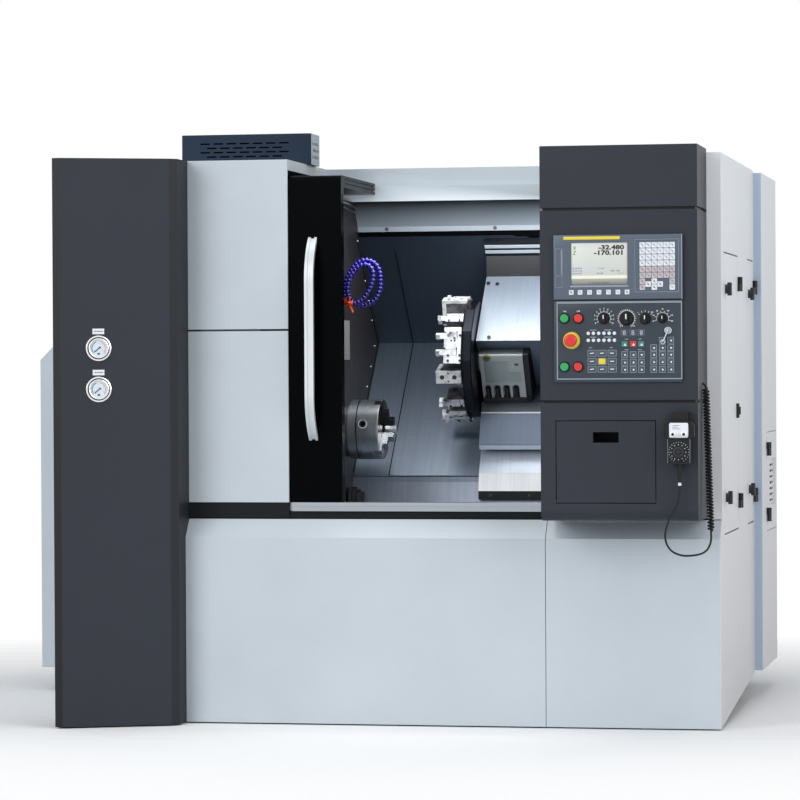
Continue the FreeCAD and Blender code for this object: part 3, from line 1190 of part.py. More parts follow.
def door_handle():
    """Bow handle: a ribbed flat bar, straight in the middle, whose ends curve back to the door."""
    x0 = HANDLE_X - HANDLE_WIDTH / 2.0
    low = HANDLE_BOTTOM + HANDLE_CURVE
    high = HANDLE_BOTTOM + HANDLE_LENGTH - HANDLE_CURVE
    radius = (HANDLE_CURVE ** 2 + HANDLE_BOW ** 2) / (2.0 * HANDLE_BOW)
    front = DOOR_Y - HANDLE_BOW

    def bow(a, b, skin, thick):
        """The bar between two X planes, from skin to thick under its front surface."""
        bar = box(a, b, front + skin, front + thick, low, high)
        parts = [bar]
        for z, far in ((high, HANDLE_BOTTOM + HANDLE_LENGTH + 1.0), (low, HANDLE_BOTTOM - 1.0)):
            ring = rod_x(radius - skin, a, b, front + radius, z)
            ring = ring.cut(rod_x(radius - thick, a - 1.0, b + 1.0, front + radius, z))
            parts.append(ring.common(box(a, b, front - 1.0, DOOR_Y, min(z, far), max(z, far))))
        return fuse(parts)

    groove = bow(HANDLE_X - HANDLE_GROOVE / 2.0, HANDLE_X + HANDLE_GROOVE / 2.0, -0.5, HANDLE_GROOVE_DEPTH)
    return bow(x0, x0 + HANDLE_WIDTH, 0.0, HANDLE_THICK).cut(groove)


# --- control housing -----------------------------------------------------------------------
control_front = -CONTROL_REACH
panel_x = bay_right + PANEL_LEFT
panel_front = control_front - PANEL_THICK
BUTTONS = {"button_start": (33.0, 200.0), "button_hold": (77.0, 200.0), "button_power_on": (33.0, 49.0),
           "button_power_off": (76.0, 49.0)}
STOP_AT = (55.0, 131.0)
KNOBS = {"mode_knob": (157.0, 199.0, 1.0), "feed_knob": (228.0, 198.0, 1.3), "rapid_knob": (286.0, 197.0, 1.0),
         "spindle_knob": (340.0, 197.0, 0.8)}


def on_panel(place):
    return (panel_x + place[0], PANEL_BOTTOM + place[1])


def control_housing():
    """Box housing with two seams, a compartment behind its door and room behind the panel."""
    body = box(bay_right, control_right, control_front, SETBACK, CONTROL_BOTTOM, control_top)
    body = fillet(body, CONTROL_ROUND, lambda mid, run: along(run, "x") and mid.y < control_front + 1.0
                  and mid.z < CONTROL_BOTTOM + 1.0)
    cuts = []
    for z in (PANEL_BOTTOM + PANEL_HEIGHT + LCD_HEIGHT + UPPER_SEAM_GAP, PANEL_BOTTOM - LOWER_SEAM_GAP):
        seam = box(bay_right - 1.0, control_right + 1.0, control_front - 1.0, SETBACK + 1.0, z, z + HOUSING_SEAM)
        core = box(bay_right + HOUSING_SEAM_DEPTH, control_right - HOUSING_SEAM_DEPTH,
                   control_front + HOUSING_SEAM_DEPTH, SETBACK + 2.0, z, z + HOUSING_SEAM)
        cuts.append(seam.cut(core))
    x0 = bay_right + ACCESS_X
    cuts.append(box(x0, x0 + ACCESS_WIDTH, control_front - 1.0, control_front + ACCESS_DEPTH, ACCESS_Z,
                    ACCESS_Z + ACCESS_HEIGHT))
    cuts.append(box(panel_x + 10.0, panel_x + PANEL_WIDTH - 10.0, control_front - 1.0, control_front + STEM_SPACE,
                    PANEL_BOTTOM + 10.0, PANEL_BOTTOM + PANEL_HEIGHT - 10.0))
    return body.cut(Part.makeCompound(cuts))


def lcd_unit():
    """Display and keypad in one bezel."""
    z0 = PANEL_BOTTOM + PANEL_HEIGHT
    front = control_front - LCD_THICK
    body = box(panel_x, panel_x + PANEL_WIDTH, front, control_front, z0, z0 + LCD_HEIGHT)
    body = fillet(body, 3.0, lambda mid, run: abs(mid.y - front) < 0.1)
    screen_x = panel_x + 55.0
    screen = box(screen_x, screen_x + SCREEN_WIDTH, front - 1.0, front + 5.0, z0 + 45.0, z0 + 45.0 + SCREEN_HEIGHT)
    keys = []
    for index in range(7):
        x = screen_x + 12.0 + index * (SCREEN_WIDTH - 24.0) / 6.0
        keys.append(box(x - 8.0, x + 8.0, front - 2.5, front + 1.0, z0 + 18.0, z0 + 31.0))
    pitch = 18.6
    for row in range(8):
        for column in range(6):
            x = panel_x + 275.0 + column * pitch
            z = z0 + 172.0 - row * pitch
            keys.append(box(x - 7.0, x + 7.0, front - 2.5, front + 1.0, z - 7.0, z + 7.0))
    return fuse([body.cut(screen)] + keys)


def operator_panel():
    """Front plate with holes for the switches, collars round them and its key blocks."""
    body = box(panel_x, panel_x + PANEL_WIDTH, panel_front, control_front, PANEL_BOTTOM, PANEL_BOTTOM + PANEL_HEIGHT)
    body = fillet(body, 2.0, lambda mid, run: abs(mid.y - panel_front) < 0.1)
    added = []
    holes = []
    for place in BUTTONS.values():
        x, z = on_panel(place)
        added.append(rod_y(BUTTON_RADIUS + 4.0, panel_front - 5.0, panel_front + 1.0, x, z))
        holes.append(rod_y(BUTTON_RADIUS + BUTTON_GAP, panel_front - 6.0, control_front + 1.0, x, z))
    x, z = on_panel(STOP_AT)
    added.append(rod_y(STOP_RADIUS + 2.0, panel_front - 12.0, panel_front + 1.0, x, z))
    holes.append(rod_y(STEM_RADIUS + 3.0 + BUTTON_GAP, panel_front - 13.0, control_front + 1.0, x, z))
    for across, up, scale in KNOBS.values():
        x, z = on_panel((across, up))
        added.append(rod_y(KNOB_RADIUS * scale + 6.0, panel_front - 1.5, panel_front + 1.0, x, z))
        holes.append(rod_y(STEM_RADIUS + BEARING_GAP, panel_front - 3.0, control_front + 1.0, x, z))
    for x0, z0, columns, rows, pitch in ((128.0, 41.0, 4, 3, 20.0), (221.0, 39.0, 3, 3, 26.0), (312.0, 39.0, 3, 4, 25.0)):
        for row in range(rows):
            for column in range(columns):
                x, z = on_panel((x0 + column * pitch, z0 + row * 24.0))
                added.append(box(x - 8.0, x + 8.0, panel_front - 2.0, panel_front + 1.0, z - 8.0, z + 8.0))
    x, z = on_panel((353.0, 155.0))
    added.append(rod_y(12.0, panel_front - 12.0, panel_front + 1.0, x, z))
    return fuse([body] + added).cut(Part.makeCompound(holes))


def push_button(place):
    """Domed button with a long stem that slides in its hole."""
    x, z = on_panel(place)
    front = panel_front - BUTTON_PROUD
    stem = rod_y(BUTTON_RADIUS, front, control_front + STEM_SPACE - STEM_END, x, z)
    return round_end(stem, front, 2.0)


def round_end(shape, y, radius):
    edges = [edge for edge in shape.Edges if abs(edge.BoundBox.YMin - y) < 0.01 and abs(edge.BoundBox.YMax - y) < 0.01]
    return shape.makeFillet(radius, edges)


def emergency_stop():
    """Mushroom head on a stem."""
    x, z = on_panel(STOP_AT)
    back = panel_front - 12.0 - STOP_PRESS - 2.0
    head = rod_y(STOP_RADIUS, back - 14.0, back, x, z)
    head = round_end(head, back - 14.0, 7.0)
    stem = rod_y(STEM_RADIUS + 3.0, back - 1.0, control_front + STEM_SPACE - STEM_END, x, z)
    return fuse([head, stem])


def rotary_knob(place):
    """Skirted knob with a grip bar, on its shaft."""
    x, z = on_panel(place[:2])
    radius = KNOB_RADIUS * place[2]
    back = panel_front - 1.5 - DOOR_CLEAR
    skirt = Part.makeCone(radius, radius - 2.0, 7.0, Vector(x, back, z), Vector(0, -1, 0))
    grip = box(x - radius * 0.32, x + radius * 0.32, back - KNOB_PROUD, back, z - radius + 2.5, z + radius - 2.5)
    grip = fillet(grip, 1.5, lambda mid, run: mid.y < back - KNOB_PROUD + 0.1)
    stem = rod_y(STEM_RADIUS, back - 1.0, control_front + STEM_SPACE - STEM_END, x, z)
    return fuse([skirt, grip, stem])


access_x = bay_right + ACCESS_X


def access_door():
    """Drop-down door of the lower compartment, with a finger slot."""
    x0 = access_x + LEAF_GAP
    x1 = access_x + ACCESS_WIDTH - LEAF_GAP
    z0 = ACCESS_Z + LEAF_GAP
    z1 = ACCESS_Z + ACCESS_HEIGHT - LEAF_GAP
    leaf = box(x0, x1, control_front, control_front + LEAF_THICK, z0, z1)
    middle = (x0 + x1) / 2.0
    slot_top = z1 - FINGER_BELOW_TOP
    slot = box(middle - FINGER_WIDTH / 2.0, middle + FINGER_WIDTH / 2.0, control_front - 1.0,
               control_front + LEAF_THICK + 1.0, slot_top - FINGER_HEIGHT, slot_top)
    pin = rod(PIN_RADIUS, Vector(access_x, control_front + ACCESS_PIN_Y, ACCESS_Z + ACCESS_PIN_Z),
              Vector(access_x + ACCESS_WIDTH, control_front + ACCESS_PIN_Y, ACCESS_Z + ACCESS_PIN_Z))
    return fuse([leaf.cut(slot), pin])


def pressure_gauges():
    """Two dial gauges seated in the slanted face of the left cover."""
    a = Vector(cover_left + COVER_BEND, -COVER_REACH - 5.0, 0)
    b = Vector(panel_left - 24.0, -COVER_SHOULDER, 0)
    run = (b - a).normalize()
    out = Vector(run.y, -run.x, 0)
    share = (GAUGE_X - a.x) / run.x
    gauges = []
    for z in (GAUGE_UPPER_Z, GAUGE_UPPER_Z - GAUGE_PITCH):
        seat = a + run * share
        seat.z = z
        flange = rod(GAUGE_RADIUS, seat, seat + out * 4.0)
        case = rod(GAUGE_RADIUS - 9.0, seat + out * 3.0, seat + out * GAUGE_DEPTH)
        dish = rod(GAUGE_RADIUS - 12.5, seat + out * (GAUGE_DEPTH - 4.0), seat + out * (GAUGE_DEPTH + 1.0))
        gauges.append(fuse([flange, case]).cut(dish))
    return gauges


# --- pendant and its cord ------------------------------------------------------------------
pendant_back = control_front - 12.0
pendant_front = pendant_back - PENDANT_THICK


def pendant_body():
    """Handwheel pendant on its hook: a narrow lower part and a wider head."""
    x = PENDANT_X
    half = PENDANT_WIDTH / 2.0
    low = box(x - half, x + half, pendant_front, pendant_back, PENDANT_LOW, PENDANT_TOP - HEAD_TALL + 1.0)
    low = fillet(low, 8.0, lambda mid, run: along(run, "y"))
    head = box(x - HEAD_WIDTH / 2.0, x + HEAD_WIDTH / 2.0, pendant_front - 2.0, pendant_back,
               PENDANT_TOP - HEAD_TALL, PENDANT_TOP)
    head = fillet(head, 9.0, lambda mid, run: along(run, "y"))
    plate = box(x - 31.0, x + 32.0, pendant_front - 4.0, pendant_front, PENDANT_TOP - 53.0, PENDANT_TOP - 4.0)
    hook = box(x - 24.0, x + 28.0, pendant_back - 20.0, control_front, PENDANT_TOP - 8.0, PENDANT_TOP + 28.0)
    window = box(x - 12.0, x + 16.0, pendant_back - 12.0, control_front - 4.0, PENDANT_TOP + 3.0, PENDANT_TOP + 20.0)
    knobs = [rod_y(8.0, pendant_front - 14.0, pendant_front - 1.0, x + dx, PENDANT_TOP - 41.0) for dx in (-17.0, 17.0)]
    relief = Part.makeCone(5.0, 9.0, PENDANT_LOW - CABLE_TOP[2] + 1.0, Vector(*CABLE_TOP))
    shaft = rod_y(5.0, pendant_front - 9.0, pendant_front + 1.0, x, DIAL_Z)
    return fuse([low, head, plate, hook.cut(window), relief, shaft] + knobs)


def pendant_dial():
    """Hand dial with a small crank grip."""
    y1 = pendant_front - DOOR_CLEAR
    y0 = y1 - 10.0
    disc = rod_y(DIAL_RADIUS, y0, y1, PENDANT_X, DIAL_Z)
    disc = round_end(disc, y0, 2.0)
    hole = rod_y(5.0 + BEARING_GAP, y0 + 1.0 - 0.3, y1 + 1.0, PENDANT_X, DIAL_Z)
    grip = Part.makeCone(4.5, 3.5, 3.5, Vector(PENDANT_X + 12.0, y0 + 0.5, DIAL_Z + 12.0), Vector(0, -1, 0))
    return fuse([disc.cut(hole), grip])


CABLE_TOP = (1000.0, -249.0, 800.0)
CURL_START = (1080.0, -92.0, 632.0)
CURL_END = (1068.0, -92.0, 1062.0)
CORD_EXIT = (1055.0, -88.0, 1098.0)
CABLE_ROUTE = [CABLE_TOP, (1000.5, -249.0, 764.0), (994.0, -248.0, 726.0), (975.0, -246.0, 692.0), (957.0, -243.0, 655.0),
               (951.0, -239.0, 616.0), (966.0, -231.0, 580.0), (999.0, -213.0, 563.0), (1031.0, -187.0, 562.0),
               (1058.0, -151.0, 566.0), (1073.0, -115.0, 578.0), (1081.0, -94.0, 603.0), CURL_START]


def rounded_path(points):
    """Straight runs joined by tangent arcs, each as large as its two runs allow."""
    points = [Vector(*point) for point in points]
    edges = []
    radii = []
    here = points[0]
    for before, corner, after in zip(points, points[1:], points[2:]):
        a = before - corner
        b = after - corner
        shorter = min(a.Length, b.Length)
        turn = math.pi - a.getAngle(b)
        cut = 0.45 * shorter
        radii.append(cut / math.tan(turn / 2.0))
        start = corner + a.normalize() * cut
        end = corner + b.normalize() * cut
        bisector = (a + b).normalize()
        reach = radii[-1] * (1.0 / math.cos(turn / 2.0) - 1.0)
        edges.append(Part.LineSegment(here, start).toShape())
        edges.append(Part.Arc(start, corner + bisector * reach, end).toShape())
        here = end
    edges.append(Part.LineSegment(here, points[-1]).toShape())
    return Part.Wire(edges), radii


def tube(name, points, radius):
    path, radii = rounded_path(points)
    start = Vector(*points[0])
    profile = Part.Wire([Part.Circle(start, Vector(*points[1]) - start, radius).toShape()])
    solid = path.makePipeShell([profile], True, False)
    print(name, "length", round(path.Length, 1), "radii", [round(value) for value in radii])
    print(name, "volume", round(solid.Volume), "section x length", round(math.pi * radius ** 2 * path.Length))
    return solid


def smooth(value):
    value = min(max(value, 0.0), 1.0)
    return value * value * (3.0 - 2.0 * value)


def curl_point(turns):
    """Helix point and tangent after a number of turns; both ends run out on the axis."""
    start = Vector(*CURL_START)
    axis = Vector(*CURL_END) - start
    total = axis.Length
    axis.normalize()
    across = axis.cross(Vector(0, 1, 0)).normalize()
    other = axis.cross(across)

    def place(u):
        ends = smooth(u) * smooth(CURL_COUNT - u)
        lead = (total - CURL_PITCH * CURL_COUNT) / 2.0
        rise = CURL_PITCH * u + lead * (smooth(u / 1.5) + smooth(1.0 - (CURL_COUNT - u) / 1.5))
        angle = 2.0 * math.pi * u
        return start + axis * rise + (across * math.cos(angle) + other * math.sin(angle)) * (CURL_RADIUS * ends)

    step = 0.0005
    tangent = (place(turns + step) - place(turns - step)).normalize()
    return place(turns), tangent


def biarc(p0, t0, p1, t1):
    """Two arcs that leave p0 along t0 and reach p1 along t1."""
    chord = p1 - p0
    both = t0 + t1
    a = 2.0 * (t0.dot(t1) - 1.0)
    b = -2.0 * chord.dot(both)
    c = chord.dot(chord)
    reach = -c / b if abs(a) < 1e-9 else (-b - math.sqrt(b * b - 4.0 * a * c)) / (2.0 * a)
    q0 = p0 + t0 * reach
    q1 = p1 - t1 * reach
    joint = (q0 + q1) * 0.5
    return [arc_by_corner(p0, q0, joint), arc_by_corner(joint, q1, p1)]


def arc_by_corner(start, corner, end):
    """The arc that touches both lines of a corner with equal legs."""
    middle = (start + end) * 0.5
    half = (end - start).Length / 2.0
    leg = (corner - start).Length
    height = (corner - middle).Length
    bulge = half * (leg - half) / height
    return Part.Arc(start, middle + (corner - middle).normalize() * bulge, end).toShape()


def curly_cord():
    """One unbroken tube: a straight lead, the curls, and a lead into the housing's side."""
    stops = [index / 4.0 for index in range(8)]
    stops += [2.0 + index / 2.0 for index in range(2 * (CURL_COUNT - 4))]
    stops += [CURL_COUNT - 2.0 + index / 4.0 for index in range(9)]
    edges = []
    samples = [curl_point(index / 24.0)[0] for index in range(24 * CURL_COUNT + 1)]
    places = [curl_point(turns) for turns in stops]
    for (p0, t0), (p1, t1) in zip(places, places[1:]):
        edges += biarc(p0, t0, p1, t1)
    least = min((a - b).Length for index, a in enumerate(samples) for b in samples[index + 14:index + 40])
    tightest = min(edge.Curve.Radius for edge in edges if hasattr(edge.Curve, "Radius"))
    print("curly_cord least gap to itself", round(least - 2.0 * CABLE_RADIUS, 2), "tightest", round(tightest, 2))
    top, way = places[-1]
    exit_point = Vector(*CORD_EXIT)
    edges += biarc(top, way, exit_point, Vector(-1, 0, 0))
    wire = Part.Wire(edges)
    profile = Part.Wire([Part.Circle(places[0][0], places[0][1], CABLE_RADIUS).toShape()])
    solid = wire.makePipeShell([profile], True, False)
    print("curly_cord length", round(wire.Length), "volume", round(solid.Volume), "section x length",
          round(math.pi * CABLE_RADIUS ** 2 * wire.Length))
    return solid


HOSE_ROUTE = [(-196.0, 398.0, 1386.0), (-195.0, 398.0, 1412.0), (-190.0, 398.0, 1438.0), (-181.0, 398.0, 1460.0),
              (-168.0, 398.0, 1481.0), (-151.0, 398.0, 1500.0), (-130.0, 398.0, 1511.0), (-107.0, 398.0, 1510.0),
              (-86.0, 398.0, 1498.0), (-74.0, 398.0, 1477.0), (-70.0, 398.0, 1449.0), (-71.0, 398.0, 1416.0),
              (-80.0, 398.0, 1388.0), (-101.0, 397.0, 1367.0), (-128.0, 396.0, 1357.0), (-155.0, 393.0, 1361.0),
              (-173.0, 386.0, 1378.0), (-179.0, 378.0, 1403.0), (-176.0, 373.0, 1430.0), (-167.0, 371.0, 1455.0),
              (-152.0, 371.0, 1478.0), (-132.0, 371.0, 1494.0), (-110.0, 371.0, 1496.0), (-94.0, 371.0, 1483.0),
              (-89.0, 371.0, 1460.0), (-94.0, 371.0, 1432.0), (-105.0, 371.0, 1406.0), (-120.0, 371.0, 1383.0),
              (-138.0, 371.0, 1368.0), (-158.0, 371.0, 1363.0)]


def coolant_hose():
    """Modular hose: a chain of beads, each a short barrel between two necks, in two loops."""
    path, radii = rounded_path(HOSE_ROUTE)
    count = int(path.Length / BEAD_PITCH)
    print("coolant_hose length", round(path.Length), "beads", count, "radii", [round(value) for value in radii])
    places = path.discretize(Number=3 * count + 1)
    circles = []
    for index, place in enumerate(places):
        before = places[max(index - 1, 0)]
        after = places[min(index + 1, len(places) - 1)]
        radius = HOSE_RADIUS if index % 3 else HOSE_RADIUS * 0.74
        circles.append(steady_circle(place, (after - before).normalize(), radius))
    outer = Part.makeLoft(circles, True, True)
    return outer


def steady_circle(centre, normal, radius):
    """A circle whose X axis keeps its direction along the hose, so that a loft doesn't twist."""
    side = Vector(0, 1, 0).cross(normal).normalize()
    frame = FreeCAD.Placement(centre, FreeCAD.Rotation(side, normal.cross(side), normal, "ZXY"))
    circle = Part.Circle(Vector(0, 0, 0), Vector(0, 0, 1), radius).toShape()
    circle.Placement = frame
    return Part.Wire([circle])


def coolant_nozzle():
    """Valve body on the wall with its lever, and the nozzle turned down to the right."""
    inlet = Vector(*HOSE_ROUTE[0])
    outlet = Vector(*HOSE_ROUTE[-1])
    boss = rod_x(13.0, wall_x, inlet.x + 8.0, inlet.y, inlet.z - 14.0)
    neck = rod(8.0, inlet - Vector(0, 0, 14.0), inlet)
    body = rod(9.0, outlet, outlet + Vector(-16.0, 0, 3.0))
    spout = Part.makeCone(8.0, 4.0, 34.0, outlet + Vector(-13.0, 0, 3.0), Vector(0.36, -0.1, -1.0))
    bridge = rod(6.0, outlet + Vector(-12.0, 0, 3.0), inlet - Vector(-4.0, 6.0, 14.0))
    lever = rod(3.0, outlet + Vector(-12.0, 0, 6.0), outlet + Vector(-12.0, -6.0, 26.0))
    return fuse([boss, neck, body, spout, bridge, lever])


save("base_bed", base_bed())
save("levelling_feet", levelling_feet())
save("lower_front_panels", lower_front_panels())
save("left_front_panels", left_front_panels())
save("left_cover", left_cover())
save("left_end_housing", left_end_housing())
save("roof", roof())
save("back_panels", back_panels())
save("sill_rail", sill_rail())
save("header", header())
save("right_skin", right_skin())
save("rear_cabinet", rear_cabinet())
save("vent_box", vent_box())
save("chamber_left_wall", chamber_left_wall())
save("chamber_liner", chamber_liner())
save("headstock", headstock())
save("spindle_motor", spindle_motor())
save("drive_belt", drive_belt())
save("z_rails", z_rails())
save("control_housing", control_housing())
save("lcd_unit", lcd_unit())
save("operator_panel", operator_panel())
save("hinges", hinges())
save("pendant_body", pendant_body())
save("pendant_cable", tube("pendant_cable", CABLE_ROUTE, CABLE_RADIUS))
save("curly_cord", curly_cord())
save("coolant_hose", coolant_hose())
save("coolant_nozzle", coolant_nozzle())
save("pressure_gauges", pressure_gauges())
save("door_frame", door_frame())
save("door_window", door_window())
save("door_handle", door_handle())
save("spindle", spindle())
save("chuck_body", chuck_body())
for number, degrees in enumerate(jaw_angles, 1):
    save("chuck_jaw_" + str(number), chuck_jaw(degrees))
save("motor_pulley", motor_pulley())
save("saddle", saddle())
save("saddle_cover", saddle_cover())
save("way_cover_mid", way_cover_mid())
save("z_screw", z_screw())
save("cross_slide", cross_slide())
save("turret_housing", turret_housing())
save("turret_disc", turret_disc())
save("tool_holders", tool_holders())
save("side_door_front", side_door(FRONT_DOOR_Y, FRONT_DOOR_WIDTH, LATCH_INSET))
save("side_door_rear", side_door(rear_door_y, REAR_DOOR_WIDTH, REAR_LATCH_INSET))
save("cabinet_door", cabinet_door())
save("access_door", access_door())
save("emergency_stop", emergency_stop())
for name, place in BUTTONS.items():
    save(name, push_button(place))
for name, place in KNOBS.items():
    save(name, rotary_knob(place))
save("pendant_dial", pendant_dial())
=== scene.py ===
# %% [markdown]
# # A slant-bed turning lathe, dressed for a studio picture
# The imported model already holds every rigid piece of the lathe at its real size. This lesson
# keeps those pieces where they are and gives each of them a finish. It models again the few
# that are seen from close by or hang loose: the display unit, the operator panel, the gauges,
# the pendant's cord and the coolant hose. The rest gets small trim: screws, seals and scales.

# %% Load the frame
import bpy
import bmesh
import math
from mathutils import Matrix, Vector


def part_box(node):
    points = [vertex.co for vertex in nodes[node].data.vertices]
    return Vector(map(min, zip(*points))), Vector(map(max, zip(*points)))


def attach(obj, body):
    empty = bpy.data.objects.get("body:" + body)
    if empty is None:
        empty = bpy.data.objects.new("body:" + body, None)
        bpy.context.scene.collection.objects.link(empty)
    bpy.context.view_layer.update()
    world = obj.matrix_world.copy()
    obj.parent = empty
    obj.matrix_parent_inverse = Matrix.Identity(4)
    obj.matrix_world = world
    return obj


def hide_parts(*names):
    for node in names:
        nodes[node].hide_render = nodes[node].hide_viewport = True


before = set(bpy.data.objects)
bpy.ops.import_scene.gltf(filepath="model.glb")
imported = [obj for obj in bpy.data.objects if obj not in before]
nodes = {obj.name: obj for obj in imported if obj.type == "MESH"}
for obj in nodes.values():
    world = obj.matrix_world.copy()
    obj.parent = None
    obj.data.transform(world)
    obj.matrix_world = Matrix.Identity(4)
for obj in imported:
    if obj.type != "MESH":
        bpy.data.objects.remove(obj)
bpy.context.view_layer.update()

# %% [markdown]
# ## Where things are
# Sizes on the real machine are read from its lower front panel and from the floor, so the
# lesson does the same: `at` takes such a place in millimetres and gives metres in the frame.
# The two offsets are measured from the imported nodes, so that nothing has to be fitted by eye.

# %% Places in millimetres
MM = 0.001
FRONT_PANEL_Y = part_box("lower_front_panels")[0].y
RIGHT_SKIN_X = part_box("right_skin")[1].x
SKIN_AT = 1100
SLANT_Y = 608
SLANT_Z = 784
HALF_ROOT = math.sqrt(0.5)
SPINDLE = (500, 945)
TURRET = (654.75, 1180.06)
KEY_X = -135


def at(x, y, z):
    """A place x right of the lathe's zero, y behind the lower front panel, z above the floor."""
    return Vector((RIGHT_SKIN_X + (x - SKIN_AT) * MM, FRONT_PANEL_Y + y * MM, z * MM))


print("lathe zero is at", [round(v, 4) for v in at(0, 0, 0)])

# %% [markdown]
# ## The camera
# The camera stands eleven metres away, to the right of the machine and almost level. Its long
# lens gives a gentle perspective.

# %% Camera
CAMERA_AT = at(2239, -11026, 1145)
TURN = math.radians(11.12)
DOWN = math.radians(0.496)
ROLL = -0.00531
SENSOR = 36
FOCAL_RATIO = 4.375

ahead = Vector((-math.sin(TURN) * math.cos(DOWN), math.cos(TURN) * math.cos(DOWN), -math.sin(DOWN)))
level = Vector((math.cos(TURN), math.sin(TURN), 0))
upward = level.cross(ahead)
rightward = level * math.cos(ROLL) + upward * math.sin(ROLL)
upright = upward * math.cos(ROLL) - level * math.sin(ROLL)
lens = bpy.data.cameras.new("camera")
lens.lens = FOCAL_RATIO * SENSOR
lens.sensor_width = SENSOR
lens.clip_end = 100
camera = bpy.data.objects.new("camera", lens)
bpy.context.scene.collection.objects.link(camera)
turned = Matrix((rightward, upright, -ahead)).transposed()
camera.matrix_world = Matrix.Translation(CAMERA_AT) @ turned.to_4x4()
bpy.context.scene.camera = camera
print("camera", [round(v, 2) for v in CAMERA_AT])

# %% [markdown]
# ## Shader maths as plain expressions
# A finish is easier to read as `base * 0.9 + stain * 0.1` than as a web of nodes. `Value` wraps
# one socket and adds a Math node for each operator; `Finish` makes any other node.

# %% Node helpers
def math_step(operation, swapped=False):
    """An operator or method that adds one Math node."""
    def step(self, other):
        first, second = (other, self) if swapped else (self, other)
        return self.finish.node("ShaderNodeMath", {"operation": operation}, {0: first, 1: second})
    return step


class Value:
    """A number or colour that varies over the surface."""

    def __init__(self, finish, socket):
        self.finish = finish
        self.socket = socket

    __add__ = math_step("ADD")
    __radd__ = math_step("ADD", True)
    __sub__ = math_step("SUBTRACT")
    __rsub__ = math_step("SUBTRACT", True)
    __mul__ = math_step("MULTIPLY")
    over = math_step("GREATER_THAN")
    under = math_step("LESS_THAN")
    power = math_step("POWER")

    def ramp(self, low, high, out_low=0, out_high=1):
        """Maps low..high to out_low..out_high and clamps."""
        sockets = {0: self, 1: low, 2: high, 3: out_low, 4: out_high}
        return self.finish.node("ShaderNodeMapRange", {"clamp": True}, sockets)


class Finish:
    """One material: a Principled shader and the nodes that feed it."""

    def __init__(self, name, **settings):
        self.material = bpy.data.materials.new(name)
        self.material.use_nodes = True
        self.tree = self.material.node_tree
        self.shader = self.tree.nodes["Principled BSDF"]
        self.place = self.node("ShaderNodeTexCoord", {}, {}, "Object")
        for socket, value in settings.items():
            self.set(socket.replace("_", " ").title().replace("Ior", "IOR"), value)

    def node(self, kind, settings, sockets, out=0):
        made = self.tree.nodes.new(kind)
        for key, value in settings.items():
            if key == "stops":
                fill_ramp(made.color_ramp, value)
            else:
                setattr(made, key, value)
        for key, value in sockets.items():
            self.feed(made.inputs[key], value)
        return Value(self, made.outputs[out])

    def feed(self, socket, value):
        if isinstance(value, Value):
            self.tree.links.new(value.socket, socket)
        else:
            socket.default_value = value

    def set(self, socket, value):
        self.feed(self.shader.inputs[socket], value)

    def noise(self, scale, detail, stretch=None, rough=0.5):
        place = self.place
        if stretch:
            place = self.node("ShaderNodeMapping", {}, {"Vector": place, "Scale": stretch})
        sockets = {"Vector": place, "Scale": scale, "Detail": detail, "Roughness": rough}
        return self.node("ShaderNodeTexNoise", {}, sockets, "Fac")

    def mix(self, share, first, second):
        """Colour between two colours."""
        sockets = {0: share, 6: first, 7: second}
        return self.node("ShaderNodeMix", {"data_type": "RGBA", "clamp_factor": True}, sockets, 2)

    def split(self):
        """The x, y and z of the shaded point."""
        parts = self.tree.nodes.new("ShaderNodeSeparateXYZ")
        self.feed(parts.inputs[0], self.place)
        return [Value(self, parts.outputs[index]) for index in range(3)]

    def bump(self, height, strength, distance):
        sockets = {"Strength": strength, "Distance": distance, "Height": height}
        self.set("Normal", self.node("ShaderNodeBump", {}, sockets))
        return self.material


def fill_ramp(ramp, stops):
    while len(ramp.elements) > 1:
        ramp.elements.remove(ramp.elements[-1])
    ramp.elements[0].position = stops[0][0]
    ramp.elements[0].color = stops[0][1]
    for place, colour in stops[1:]:
        ramp.elements.new(place).color = colour


def tone(red, green, blue):
    """An sRGB colour as read from a screen, made linear."""
    shares = (red / 255, green / 255, blue / 255)
    return (*(c / 12.92 if c <= 0.04045 else ((c + 0.055) / 1.055) ** 2.4 for c in shares), 1)


def dimmed(colour, share):
    return (*(min(1, c * share) for c in colour[:3]), 1)


# %% [markdown]
# ## Painted sheet metal
# Machine covers are powder-coated. The coat is even in colour, with a fine orange-peel ripple
# that breaks up reflections, and a faint cloudiness where it is thicker. Both come from noise
# on Object coordinates, so the pattern has the same size on every panel.

# %% Powder coat
CLOUDS = (2.2, 4)
CLOUDING = 0.05
PEEL = (260, 2)
PEEL_STRENGTH = 0.25
PEEL_DEPTH = 0.00012


def powder_coat(name, colour, roughness=0.42, shine=0.5):
    finish = Finish(name, specular_ior_level=shine)
    clouds = finish.noise(*CLOUDS).ramp(0.3, 0.7)
    thin, thick = dimmed(tone(*colour), 1 - CLOUDING), dimmed(tone(*colour), 1 + CLOUDING)
    finish.set("Base Color", finish.mix(clouds, thin, thick))
    finish.set("Roughness", finish.noise(9, 5).ramp(0.3, 0.7, roughness - 0.04, roughness + 0.05))
    return finish.bump(finish.noise(*PEEL), PEEL_STRENGTH, PEEL_DEPTH)


light_paint = powder_coat("light_grey_coat", (194, 203, 210))
plinth_paint = powder_coat("plinth_coat", (26, 30, 32), 0.65, 0.12)
motor_paint = powder_coat("motor_coat", (70, 84, 92), 0.5)

# %% [markdown]
# ## Gloss black
# The sliding door is sprayed gloss black. It reflects little, and a trace of smears changes
# its roughness.

# %% Gloss black
gloss = Finish("door_gloss_black", base_color=(0.0006, 0.001, 0.0016, 1), specular_ior_level=0.03)
gloss.set("Roughness", gloss.noise(5, 6, (1, 1, 0.25)).ramp(0.35, 0.75, 0.16, 0.26))
door_black = gloss.material

